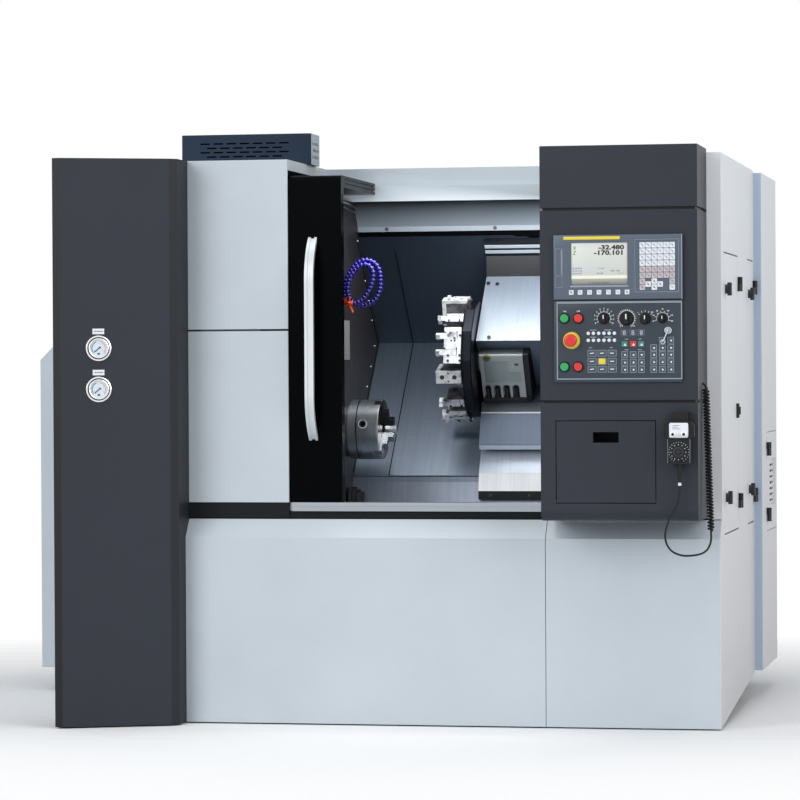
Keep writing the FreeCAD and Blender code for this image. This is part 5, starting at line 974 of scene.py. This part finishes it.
def carved(piece, cutters):
    """Cuts joined forms out of a piece."""
    tool = joined_copies(cutters)
    cut = piece.modifiers.new("cut", "BOOLEAN")
    cut.operation = "DIFFERENCE"
    cut.solver = "EXACT"
    cut.object = tool
    clear_selection()
    bpy.context.view_layer.objects.active = piece
    piece.select_set(True)
    bpy.ops.object.modifier_apply(modifier="cut")
    bpy.data.objects.remove(tool)
    return piece


def printed(name, material, plane, w, lines, bold=0, wide=1):
    """Printed figures on a plane: (text, size, u, v); bold adds to their strokes."""
    words = []
    for text, size, u, v in lines:
        clear_selection()
        bpy.ops.object.text_add()
        word = bpy.context.active_object
        word.data.body = text
        word.data.size = size * MM
        word.data.align_x = "CENTER"
        word.data.align_y = "CENTER"
        word.data.extrude = PRINT_DEPTH
        word.data.offset = bold * MM
        word.data.resolution_u = 2
        bpy.ops.object.convert(target="MESH")
        word = bpy.context.active_object
        word.data.transform(plane.spot(u, v, w) @ Matrix.Diagonal((wide, 1, 1, 1)))
        words.append(word)
    return finish_edit(joined(words), name, material, "machine")


def put_away():
    """Deletes the forms once their copies stand."""
    while templates:
        bpy.data.objects.remove(templates.pop())


# %% [markdown]
# ## The display unit
# A grey bezel with the screen and the keypad sunk into it, two card slots at its left and a
# row of soft keys. The screen's picture is a shader: bands by height, with the figures as thin
# printed pieces on top.

# %% Screen
SCREEN_LOW, BAND_LOW, BAND_HIGH, SCREEN_HIGH = (height * MM for height in (1406, 1425, 1434.5, 1536))
GLOW = 0.12


def screen_picture():
    finish = Finish("screen_picture", roughness=0.35)
    z = finish.split()[2]
    height = z.ramp(SCREEN_LOW, SCREEN_HIGH)
    paper = finish.mix(height, tone(198, 203, 200), tone(214, 215, 207))
    paper = finish.mix(within(z, BAND_LOW, BAND_HIGH), paper, tone(240, 241, 214))
    foot = finish.mix(height.ramp(0, 0.15), tone(128, 124, 118), tone(176, 178, 172))
    paper = finish.mix(z.under(BAND_LOW), paper, foot)
    finish.set("Base Color", paper)
    finish.set("Emission Color", paper)
    finish.set("Emission Strength", GLOW)
    return finish.material


# %% Bezel, screen and keys
BEZEL_THICK = 14
front = Plane(at(0, -220, 0))
bezel = Plane(at(0, -220, 0), face=BEZEL_THICK)
plate = joined_copies(formed(block, front, (807.5, 1459, 0, 401, 204, BEZEL_THICK, 0, 2)))
carved(plate, formed(block, bezel, (750.5, 1471, -5, 177, 131, 6), (930, 1463.5, -1.6, 134, 162, 4),
                     (625.5, 1477, -1.2, 21, 83, 3), (623.5, 1415, -1.2, 21, 33, 3)))
display_bezel = finish_edit(plate, "display_bezel", bezel_plastic, "machine", 25)
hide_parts("lcd_unit")
stamped("display_screen", screen_picture(),
        formed(block, bezel, (750.5, 1471, -4.8, 176.5, 130.5, 2, 0, 0.4)))
stamped("display_strip", yellow_plastic, formed(block, bezel, (727, 1551, -0.2, 177, 9.5, 1.4, 1.5, 0.5)))
stamped("display_lines", pale_line,
        formed(block, bezel, (750.5, 1401, -0.2, 182, 5.5, 1.2, 0, 0.5),
               (1008, 1459, -1, 2.6, 203, 1, 0, 0.3))
        + formed(border, bezel, (930, 1463.5, -0.3, 136, 164, 1.2, 0.6),
                 (625.5, 1477, -0.3, 22, 84, 0.9, 0.5), (623.5, 1415, -0.3, 22, 34, 0.9, 0.5))
        + formed(block, bezel, (632, 1477, -1.3, 3, 76, 1, 0, 0.4)))

SOFT_KEYS = [(u, 1382.4) for u in (662.9, 690.7, 720.4, 749.8, 779.6, 809, 837.7)]
PAD_X = [885.4 + 18.6 * column for column in range(6)]
PAD_Z = [1527.4 - 18.75 * row for row in range(6)]
ARROW_KEYS = ((PAD_X[2], 1415.2, 0), (PAD_X[2], 1396.4, 180), (903.4, 1406.1, 90), (940.9, 1406.1, -90))
LOW_KEYS = [(PAD_X[0], 1415.2), (PAD_X[0], 1396.4), (PAD_X[5], 1415.2)]
LAST_KEY = (PAD_X[5], 1396.4)
PAD_W = -1.6
KEY_W = PAD_W + 3.3
pad_key = block(17.2, 17.2, 3.6, 1.6, 0.8, 0.4)
white_spots = [(x, z) for z in PAD_Z[:4] for x in PAD_X] + [(x, z) for x, z, turn in ARROW_KEYS] + [LAST_KEY]
stamped("display_white_keys", white_key, spread(block(14.5, 14.5, 3, 1.2, 0.7, 0.4), bezel, -0.2, SOFT_KEYS)
        + spread(pad_key, bezel, PAD_W, white_spots))
stamped("display_warm_keys", warm_key,
        spread(pad_key, bezel, PAD_W, [(x, z) for z in PAD_Z[4:] for x in PAD_X] + LOW_KEYS))
printed("keypad_figures", black_print, bezel, KEY_W,
        [(digit, 7, PAD_X[column + 3], PAD_Z[row])
         for row, digits in enumerate(("789", "456", "123", "-0.")) for column, digit in enumerate(digits)])
dash = block(5, 1.3, 0.3)
dot = block(2.6, 2.6, 0.3)
arrow = disc(3.2, 0.3, 0, 3)
marks = [(dash if (row + column) % 2 else dot, bezel.spot(PAD_X[column], PAD_Z[row], KEY_W))
         for row in range(6) for column in range(6) if row > 3 or column < 3]
marks += spread(arrow, bezel, KEY_W, ARROW_KEYS) + spread(dash, bezel, KEY_W, LOW_KEYS + [LAST_KEY])
marks += spread(arrow, bezel, 2.5, ((*SOFT_KEYS[0], 90), (*SOFT_KEYS[6], -90)))
stamped("keypad_marks", black_print, marks)

# %% Figures on the screen
SCREEN_W = -2.6
printed("screen_places", black_print, bezel, SCREEN_W,
        (("-32.480", 19, 788, 1521), ("-170.101", 19, 781, 1504.5)), 0.75, 1.4)
printed("screen_figures", black_print, bezel, SCREEN_W,
        (("0.250   1200", 5.5, 800, 1448.5), ("0   0   0", 5, 818, 1441),
         ("01  02  03  04  05  06  07", 6, 750, 1411)))
printed("screen_blue", blue_print, bezel, SCREEN_W,
        (("00 54 40 80", 6.2, 681, 1457), ("18 99 67 49", 6.2, 681, 1449), ("97 69 25 22", 6.2, 681, 1441),
         ("12  0101", 6.2, 756, 1456), ("120 100", 6.2, 752, 1441)))
stamped("screen_axes", green_print,
        spread(block(1.6, 12, 0.3), bezel, SCREEN_W, ((673, 1521, 35), (673, 1521, -35)))
        + spread(block(9, 1.6, 0.3), bezel, SCREEN_W, ((673, 1511), (673, 1500.5)))
        + spread(block(1.6, 12.5, 0.3), bezel, SCREEN_W, ((673, 1505.7, -35),)))
put_away()
print("display unit done")

# %% [markdown]
# ## The operator panel
# A slate plate with a pale rim. Round holes let the stems of the buttons and knobs through; the
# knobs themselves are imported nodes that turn, so they only get a pointer, a collar and a scale.

# %% Plate and collars
PANEL_THICK = 8
LOW = -0.3
panel = Plane(at(0, -220, 0), face=PANEL_THICK)
BUTTONS = ((640, 1302), (684, 1302), (640, 1151), (683, 1151))
STOP = ((662, 1233),)
KNOBS = (("mode_knob", 764, 1301, 1), ("feed_knob", 835, 1300, 1.3), ("rapid_knob", 893, 1299, 1),
         ("spindle_knob", 947, 1299, 0.8))
plate = joined_copies(formed(block, front, (807.5, 1229.5, 0, 401, 255, PANEL_THICK, 5, 1.5)))
holes = spread(disc(13.3, 20), front, -5, BUTTONS) + spread(disc(8.3, 20), front, -5, STOP)
holes += spread(disc(5.4, 20), front, -5, [knob[1:3] for knob in KNOBS])
operator_plate = finish_edit(carved(plate, holes), "operator_plate", panel_plastic, "machine", 25)
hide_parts("operator_panel")
stamped("panel_rim", pale_line, formed(border, panel, (811.5, 1233, LOW, 392, 243, 3.2, 1))
        + formed(block, panel, (811.5, 1350, LOW, 386, 4, 1, 0, 0.4)))
stamped("panel_gap", rubber, formed(block, bezel, (807.5, 1359, -0.6, 401, 4, 1.2, 0, 0.4)))
stamped("button_collars", black_plastic, spread(ring(17, 13.4, 5, 1.4), panel, LOW, BUTTONS))
stamped("stop_collar", yellow_plastic, spread(ring(27, 8.6, 11.5, 2, 56, 23.5), panel, LOW, STOP))
stamped("knob_collars", black_plastic,
        formed(ring, panel, *((u, v, LOW, 15 * size + 4, 5.6, 1.4, 0.5) for knob, u, v, size in KNOBS)))

# %% Scales and figures
tick = block(1.4, 5, 0.3)
short_tick = block(1.3, 3.2, 0.3)
arc_piece = block(2.6, 1.2, 0.3)
# Each scale's radius and half turn, its ticks, how many there are, and the pieces of its arc.
SCALES = ((20.5, 120, tick, 11, 41), (25, 150, short_tick, 26, 51), (21, 54, tick, 5, 0),
          (19, 105, tick, 8, 36))
scales = []
for (knob, u, v, size), (radius, half, form, ticks, arc) in zip(KNOBS, SCALES):
    scales += around(form, panel, 0, u, v, radius + 3, -half, half, ticks)
    scales += around(arc_piece, panel, 0, u, v, radius, -half, half, arc)
scales += formed(block, panel, *((u, v, 0, length, 0.9, 0.3) for u, v, length in (
    (721, 1210, 9), (786, 1210, 9), (834, 1236, 10), (876, 1236, 10), (834, 1203, 12), (876, 1203, 12),
    (730, 1265, 20), (776, 1265, 24), (730, 1243, 20), (776, 1243, 24))))
stamped("panel_scales", white_print, scales)
figures = [(str(index), 6.4, *on_circle(764, 1301, 30.5, -120 + 24 * index)) for index in range(11)]
figures += [(text, 5.4, *on_circle(947, 1299, 29.5, -105 + 35 * index))
            for index, text in enumerate(("50", "60", "80", "90", "100", "110", "120"))]
figures += [("ON", 6, 641, 1323.5), ("OFF", 6, 683.5, 1323.5), ("0", 5, 815, 1277), ("150", 5, 856, 1277),
            ("1", 5, 870, 1318), ("100", 5, 914, 1319)]
printed("panel_figures", white_print, panel, 0, figures, 0.15)

# %% Lamps, counters and keys
COUNTERS = (827.3, 854.3, 880.8)
BLOCK_A = [(u, v) for v in (1193, 1167.6, 1143.2) for u in (726, 757.4, 789)]
BLOCK_B = [(u, v) for v in (1188, 1164.3, 1141.9) for u in (828.2, 854.7, 880.2)]
BLOCK_B += [(u, v) for v in (1209.2, 1188, 1165.3, 1141.9) for u in (918.7, 945.5, 972)]
BLOCK_B += [(945.5, 1232), (972, 1232)]
YELLOW_KEY = BLOCK_A[4]
stamped("panel_lamps", white_key, spread(disc(5.6, 4.2, 2.8, 28, 0, 0, 5), panel, LOW, [
    (714.5 + 16.4 * column, v) for v in (1254.8, 1233) for column in range(6)]), angle=60)
stamped("counter_windows", inner_plastic,
        spread(block(24.5, 22, 1.4, 1, 0.5), panel, LOW, [(u, 1255.5) for u in COUNTERS]))
printed("counter_figures", warm_key, panel, 1.1, [("8", 21, u, 1255) for u in COUNTERS])
stamped("key_outlines", pale_line,
        spread(border(27, 20, 1.4, 0.5), panel, -0.1, BLOCK_A)
        + spread(border(19.5, 20, 1.4, 0.5), panel, -0.1, BLOCK_B))
stamped("key_caps", inner_plastic,
        spread(block(21, 14, 1.6, 2, 0.6), panel, LOW, [spot for spot in BLOCK_A if spot != YELLOW_KEY])
        + spread(block(14, 14.5, 1.6, 2, 0.6), panel, LOW, BLOCK_B))
stamped("key_signs", white_print,
        spread(disc(4.2, 0.3, 0, 3), panel, 1.2,
               [(u + 1.5, v - 1, 90 * index) for index, (u, v) in enumerate(BLOCK_B)])
        + spread(block(12, 2.4, 0.3), panel, 1.2,
                 [(u, v, 8 - 4 * (index % 3)) for index, (u, v) in enumerate(BLOCK_A)]))
stamped("key_yellow", yellow_plastic, spread(block(21, 17, 2.2, 2, 0.6), panel, LOW, [YELLOW_KEY]))
wide_key = block(18, 17, 3, 2, 0.8, 0.5)
stamped("key_teal", teal_plastic, spread(wide_key, panel, LOW, ((828.2, 1221), (880.2, 1221))))
stamped("key_red", red_plastic, spread(wide_key, panel, LOW, ((854.7, 1221.5),)))
stamped("key_triangles", white_print,
        spread(disc(5, 0.4, 0, 3), panel, 2.2, [(u + 1.5, 1218.5) for u in (828.2, 854.7, 880.2)]))
stamped("key_switch", key_metal,
        formed(ring, panel, (964.5, 1262, LOW, 11.5, 7.5, 6, 1.2))
        + formed(disc, panel, (964.5, 1262, LOW, 7.6, 4.5, 0.6))
        + spread(block(3, 44, 8, 0.6, 0.8), panel, 5, ((957.5, 1246, -24),))
        + formed(ring, panel, (949, 1227, 8, 8, 4.6, 3, 0.8)))
for knob, u, v, size in KNOBS:
    top = (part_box(knob)[0].y - front.origin.y) / -MM
    stamped(knob + "_pointer", white_print,
            formed(block, front, (u, v + 4.5 * size, top - 0.1, 3 * size, 12 * size, 0.4, 0, 0.1)), knob)
    print(knob, "stands", round(top, 2), "mm proud")
put_away()
print("operator panel done")

# %% [markdown]
# ## Gauges
# Two pressure gauges sit in the slanted part of the dark cover: a polished rim, a black ring
# inside it that stands for the rim's shadow, a second thin ring and a white face with a green and
# a red arc, ticks and a needle.

# %% Gauges
cover_run = Vector((323, 135, 0))
cover = Plane(at(-989, -235, 0), cover_run)
GAUGE_U = 112 * cover_run.length / cover_run.x
GAUGES = [(GAUGE_U, v) for v in (1219, 1087)]
gauge_rims = stamped("gauge_rims", chrome, spread(ring(41.5, 30, 6, 2.4, 64), cover, 0, GAUGES)
                     + spread(ring(32.5, 28.5, 11.5, 1.6, 64), cover, 0, GAUGES), angle=40)
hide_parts("pressure_gauges")
# A black ring inside each rim stands for the rim's shadow: painted shadow.
stamped("gauge_shadow_rings", black_plastic, spread(ring(36, 32.2, 6.6, 0.6, 64), cover, 0, GAUGES))
stamped("gauge_faces", dial_white, spread(disc(28.8, 8, 0.4, 56), cover, 0, GAUGES))
arc_form = block(3.4, 2.4, 0.3)
tick_form = block(0.7, 3.2, 0.3)
greens, reds, needles, figures, tags = [], [], [], [], []
for u, v in GAUGES:
    greens += around(arc_form, cover, 8, u, v, 21.5, -125, -25, 14)
    reds += around(arc_form, cover, 8, u, v, 21.5, 15, 125, 15)
    needles += around(tick_form, cover, 8, u, v, 25.2, -135, 135, 28)
    needles += spread(block(2.6, 26, 0.8, 0, 0.2), cover, 8.6, ((u - 4, v - 4, -50),))
    needles += formed(disc, cover, (u + 4, v + 2.5, 8.2, 2.8, 1.8, 0.6, 24))
    needles += formed(block, cover, (u, v - 18, 8, 8, 5, 0.3, 1))
    figures += [(str(index), 5, *on_circle(u, v, 16, -120 + 60 * index)) for index in range(5)]
    tags += formed(block, cover, (u, v + 58.5, 0, 38, 8.6, 2, 1, 0.5), (u, v + 54, 0, 34, 12, 1.2),
                   (u, v + 49, 0, 38, 8, 2, 1, 0.5))
stamped("gauge_green", teal_plastic, greens)
stamped("gauge_red", gauge_pink, reds)
stamped("gauge_needles", black_print, needles)
printed("gauge_figures", black_print, cover, 8, figures)
stamped("gauge_tags", white_key, tags)
stamped("gauge_lettering", black_print, spread(block(5, 2.2, 0.3), cover, 2, [
    (u + across, v + 54) for u, v in GAUGES for across in (-10, -3, 4, 11)]))
put_away()
print("gauges done")

# %% [markdown]
# ## The hand pendant
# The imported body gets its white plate, two polished knobs, clips, a ring of ticks and a
# knurled dial, which turns with the dial's own node.

# %% Pendant
pendant = Plane(at(0, -268, 0))
DIAL = (1000, 886)
stamped("pendant_plate", white_key, formed(block, pendant, (1000.5, 953.5, 3.9, 59, 46, 1.2, 5, 0.5)))
stamped("pendant_knobs", chrome,
        spread(disc(8.8, 11.4, 1.6, 32, 2.6, 2.2), pendant, 3.9, ((983, 941), (1017, 941))), angle=40)
stamped("pendant_print", black_print, formed(block, pendant, (992, 968, 5, 22, 1.2, 0.3),
                                             (989, 963, 5, 16, 1.2, 0.3), (994, 958, 5, 26, 1.2, 0.3)))
stamped("pendant_ticks", white_print, around(block(1.2, 3.2, 0.3), pendant, 0, *DIAL, 30.6, -150, 150, 21))
stamped("pendant_clips", black_plastic,
        spread(block(7, 42, 10, 3, 1.6), pendant, -9, ((955, 953), (1045, 953))))
stamped("pendant_knurl", dark_steel,
        formed(ring, pendant, (*DIAL, 10, 18.5, 9, 3.6, 1, 48, 17))
        + formed(disc, pendant, (*DIAL, 10, 7, 3, 1, 28))
        + around(block(1.5, 1.6, 3), pendant, 10, *DIAL, 18.2, 0, 350, 36), "pendant_dial")
stamped("pendant_marks", white_print, around(block(1.3, 3.4, 0.3), pendant, 10.2, *DIAL, 23, 0, 330, 12),
        "pendant_dial")
# Pale strips along the body's sides: painted highlights on its edges.
stamped("pendant_edge_highlights", pale_line,
        spread(block(1.2, 98, 1, 0, 0.4), pendant, -0.5, ((965.7, 901), (1034.3, 901))))
put_away()
print("hand pendant done")

# %% [markdown]
# ## A latch and a sleeve
# The seam between the two side doors has one more latch halfway up; it rides on the front door.
# A pale sleeve marks the pendant's cable a little below the dial.

# %% Latch and sleeve
side_wall = Plane(at(1100, 0, 0), (0, 1, 0))
sleeve = Plane(at(1000.3, -249, 782), (1, 0, 0), (0, 1, 0))
stamped("side_latch", black_plastic, formed(block, side_wall, (536, 1004, -0.3, 22, 48, 9, 3, 1.6),
                                            (536, 1004, 8.5, 13, 26, 5, 2, 1.4)), "side_door_front")
stamped("cable_sleeve", white_key, formed(ring, sleeve, (0, 0, 0, 5.2, 3.3, 9, 1, 32)))
put_away()
print("latch and sleeve done")

# %% [markdown]
# ## Inside the chamber
# Screws along the wall's edge, on the lintel and on the covers, two rails on the wall, a black
# strip behind the lintel that is painted shadow, black seals where the wall meets the covers, the
# seam of the sliding cover and a ridged guard in the pan's corner. What sits on a moving cover rides on it.

# %% Slopes and walls as planes
slope_right = (0, HALF_ROOT, HALF_ROOT)
slope_out = (0, -HALF_ROOT, HALF_ROOT)


def on_slope(n):
    """The plane n above the bed's cover: u is x, v is s."""
    return Plane(at(0, SLANT_Y - n * HALF_ROOT, SLANT_Z + n * HALF_ROOT), (1, 0, 0), slope_right)


def on_back(s):
    """The plane across the slope at s: u is x, v is n."""
    return Plane(at(0, SLANT_Y + s * HALF_ROOT, SLANT_Z + s * HALF_ROOT), (1, 0, 0), slope_out)


def seal_spot(s, n, turn):
    """A spot of the wall, given along the slope."""
    return wall.spot(SLANT_Y + (s - n) * HALF_ROOT, SLANT_Z + (s + n) * HALF_ROOT, 0, turn)


wall = Plane(at(-210, 0, 0), (0, 1, 0))
lintel = Plane(at(0, 700, 0))
hood_front = Plane(at(0, 576, 0))
pan_corner = Plane(at(0, 470, 0))

# %% Screws, rails, seals and seams
WALL_SCREWS = ((695, 1586), (818, 1452), (880, 1385), (935, 1317), (978, 1228), (912, 1156), (842, 1086),
               (760, 1004), (690, 934))
stamped("chamber_screws", bright_steel, spread(screw(5.2, 3), wall, 0, WALL_SCREWS))
black_screw = screw(6.4, 3)
stamped("lintel_screws", black_steel, spread(black_screw, lintel, 0, ((-108, 1625), (266, 1625))))
# A near-black strip below the lintel's flange, standing for its shadow: painted shadow.
stamped("lintel_shadow_strip", painted_shadow_black, formed(block, lintel, (365, 1609.5, -5.9, 1146, 19, 4, 0, 1)))
stamped("wall_rail", bright_steel, spread(block(370, 7, 9, 0, 1.2), wall, 0, ((603, 1699, -2),))
        + spread(block(370, 5, 7, 0, 1.2), wall, 0, ((603, 1682, -2.7),)))
stamped("wall_seal", rubber, [(block(9, 500, 2, 0, 0.8), seal_spot(626, 254, 45)),
                              (block(9, 620, 2, 0, 0.8), seal_spot(316, 14, -45))])
stamped("way_cover_seams", rubber, formed(block, on_slope(3), (-87.5, 318, 0, 4, 634, 0.4))
        + formed(block, on_back(640.1), (-87.5, 224, 0, 4, 440, 0.4)), "way_cover")
stamped("cover_screws", black_steel,
        spread(black_screw, on_slope(372.5), 0, ((236, 552), (269, 290), (600, 552), (600, 290), (268, 548)))
        + spread(black_screw, on_back(637.1), 0, ((280, 486), (420, 486), (560, 486)))
        + spread(black_screw, hood_front, 0, ((269, 719), (401, 719), (533, 719))), "saddle")
guard = []
for index in range(3):
    guard += spread(block(11, 96 - 8 * index, 92, 1, 1.2), pan_corner, -92,
                    ((-196 + 13 * index, 702 - 4 * index, -4),))
stamped("pan_guard", bed_casting, guard)
put_away()
print("chamber trim done")

# %% [markdown]
# ## Screws and inserts on the turret and the chuck
# Every station's outer face gets its own plane. The clamp screws of the wide blocks, the narrow
# blocks and the boring blocks repeat round the disc, and all of them ride on the turret. The
# chuck's three key sockets get a bright ring and a black well, painted shade in the socket, which
# ride on the spindle.

# %% Turret and chuck trim
def turned_plane(x, middle, degrees, radius):
    """A plane that faces outward, radius millimetres from an axis along x."""
    angle = math.radians(degrees)
    outward = Vector((0, math.cos(angle), math.sin(angle)))
    return Plane(at(x, *middle) + outward * radius * MM, (1, 0, 0), outward.cross(Vector((1, 0, 0))))


STATIONS = 12
STATION_START = 17
STATION_TURN = 360 // STATIONS
CAP_RADIUS = 203
BORING_RADIUS = 212
WIDE_SCREWS = ((147, -53.5), (187.5, -53), (147, -35), (186, -35), (147, 33.5), (186, 33.5), (167, 24.5),
               (153, 42))
WIDE_GRUBS = ((156, -27), (167, -27), (156, 16), (168, 16))
cap_screw = screw(4.2, 3.4, 0.55)
sunk_screw = disc(7.3, 3, 0.8, 28, 2.4, 1.2)
grub = disc(3.2, 0.6, 0.3, 20, 1, 0.4)
turret_screws = []
for index in range(STATIONS):
    radius = CAP_RADIUS if index % 3 else BORING_RADIUS
    face = turned_plane(0, TURRET, STATION_START + STATION_TURN * index, radius)
    if index % 3 == 2:
        turret_screws += spread(cap_screw, face, -0.4, WIDE_SCREWS) + spread(grub, face, -0.1, WIDE_GRUBS)
    elif index % 3 == 1:
        turret_screws += spread(cap_screw, face, -0.4, ((142, -12.5), (179, -12.5)))
    else:
        turret_screws += spread(grub, face, -0.1, ((147, -14), (147, 14)))
        turret_screws += spread(sunk_screw, face, -4.2, ((126, 0), (168, 0)))
stamped("turret_screws", black_steel, turret_screws, "turret")
sockets = [turned_plane(KEY_X, SPINDLE, degrees, 101.5).spot(0, 0, -0.1) for degrees in (169, 289, 49)]
key_ring = ring(15.5, 11.8, 1.6, 0.5, 40)
# The black wells stand for the shade inside the sockets: painted shade.
key_shade_well = ring(11.9, 6.4, 0.9, 0.3, 40)
stamped("chuck_key_rings", tool_steel, [(key_ring, socket) for socket in sockets], "spindle")
stamped("chuck_key_shade_wells", black_steel, [(key_shade_well, socket) for socket in sockets], "spindle")
put_away()
print("turret and chuck trim done")

# %% [markdown]
# ## Studio
# The floor is white and fades out round the machine, so that it meets the white background
# with no edge but keeps the machine's shadow. Large soft lamps stand left and right of the
# camera and above, a small one lights the chamber, and the world adds an even fill. Camera,
# mirror and glass rays see the world as plain white.

# %% Floor and lamps
FLOOR_REACH = 7
FLOOR_DROP = 0.0005
FADE_START = 1.7
FADE_END = 3.4
bpy.ops.mesh.primitive_plane_add(size=2 * FLOOR_REACH, location=(0, 0, -FLOOR_DROP))
floor = bpy.context.active_object
floor.name = "floor"
fix_place(floor)
paper = Finish("floor_paper", base_color=(0.95, 0.95, 0.95, 1), roughness=0.9)
away = paper.node("ShaderNodeVectorMath", {"operation": "LENGTH"}, {0: paper.place}, "Value")
paper.set("Alpha", away.ramp(FADE_START, FADE_END, 1, 0))
dress(floor, paper.material)


def lamp(name, place, target, size, power):
    light = bpy.data.lights.new(name, "AREA")
    light.shape = "RECTANGLE"
    light.size, light.size_y = size
    light.energy = power
    made = bpy.data.objects.new(name, light)
    bpy.context.scene.collection.objects.link(made)
    made.location = place
    made.rotation_euler = (Vector(target) - Vector(place)).to_track_quat("-Z", "Y").to_euler()
    return made


lamp("key_lamp", (-3.6, -6.2, 3.6), (0, 0, 1), (4, 4), 210)
lamp("fill_lamp", (5.4, -5, 3), (0.2, 0, 1), (3.4, 4), 150)
lamp("top_lamp", (0.3, -0.6, 5.2), (0.2, 0, 1), (4, 3), 90)
chamber_lamp = lamp("chamber_lamp", at(330, 420, 1640), at(250, 760, 1000), (1, 0.2), 5)
chamber_lamp.visible_camera = False

# %% World
FILL_COLOUR = (0.9, 0.95, 1, 1)
FILL_STRENGTH = 0.42
WHITE = (1, 1, 1, 1)
world = bpy.data.worlds.new("studio")
bpy.context.scene.world = world
world.use_nodes = True
tree = world.node_tree
tree.nodes.clear()


def world_node(kind, *inputs, **settings):
    """A node of the world whose first inputs take sockets or values."""
    made = tree.nodes.new("ShaderNode" + kind)
    for key, value in settings.items():
        setattr(made, key, value)
    for socket, value in zip(made.inputs, inputs):
        if isinstance(value, bpy.types.NodeSocket):
            tree.links.new(value, socket)
        else:
            socket.default_value = value
    return made


rays = world_node("LightPath").outputs
mirrored = world_node("Math", rays["Is Glossy Ray"], rays["Is Transmission Ray"], operation="MAXIMUM")
direct = world_node("Math", rays["Is Camera Ray"], mirrored.outputs[0], operation="MAXIMUM")
fill = world_node("Background", FILL_COLOUR, FILL_STRENGTH)
seen = world_node("Background", WHITE, 1)
switch = world_node("MixShader", direct.outputs[0], fill.outputs[0], seen.outputs[0])
world_node("OutputWorld", switch.outputs[0])
bpy.context.scene.view_settings.view_transform = "Standard"
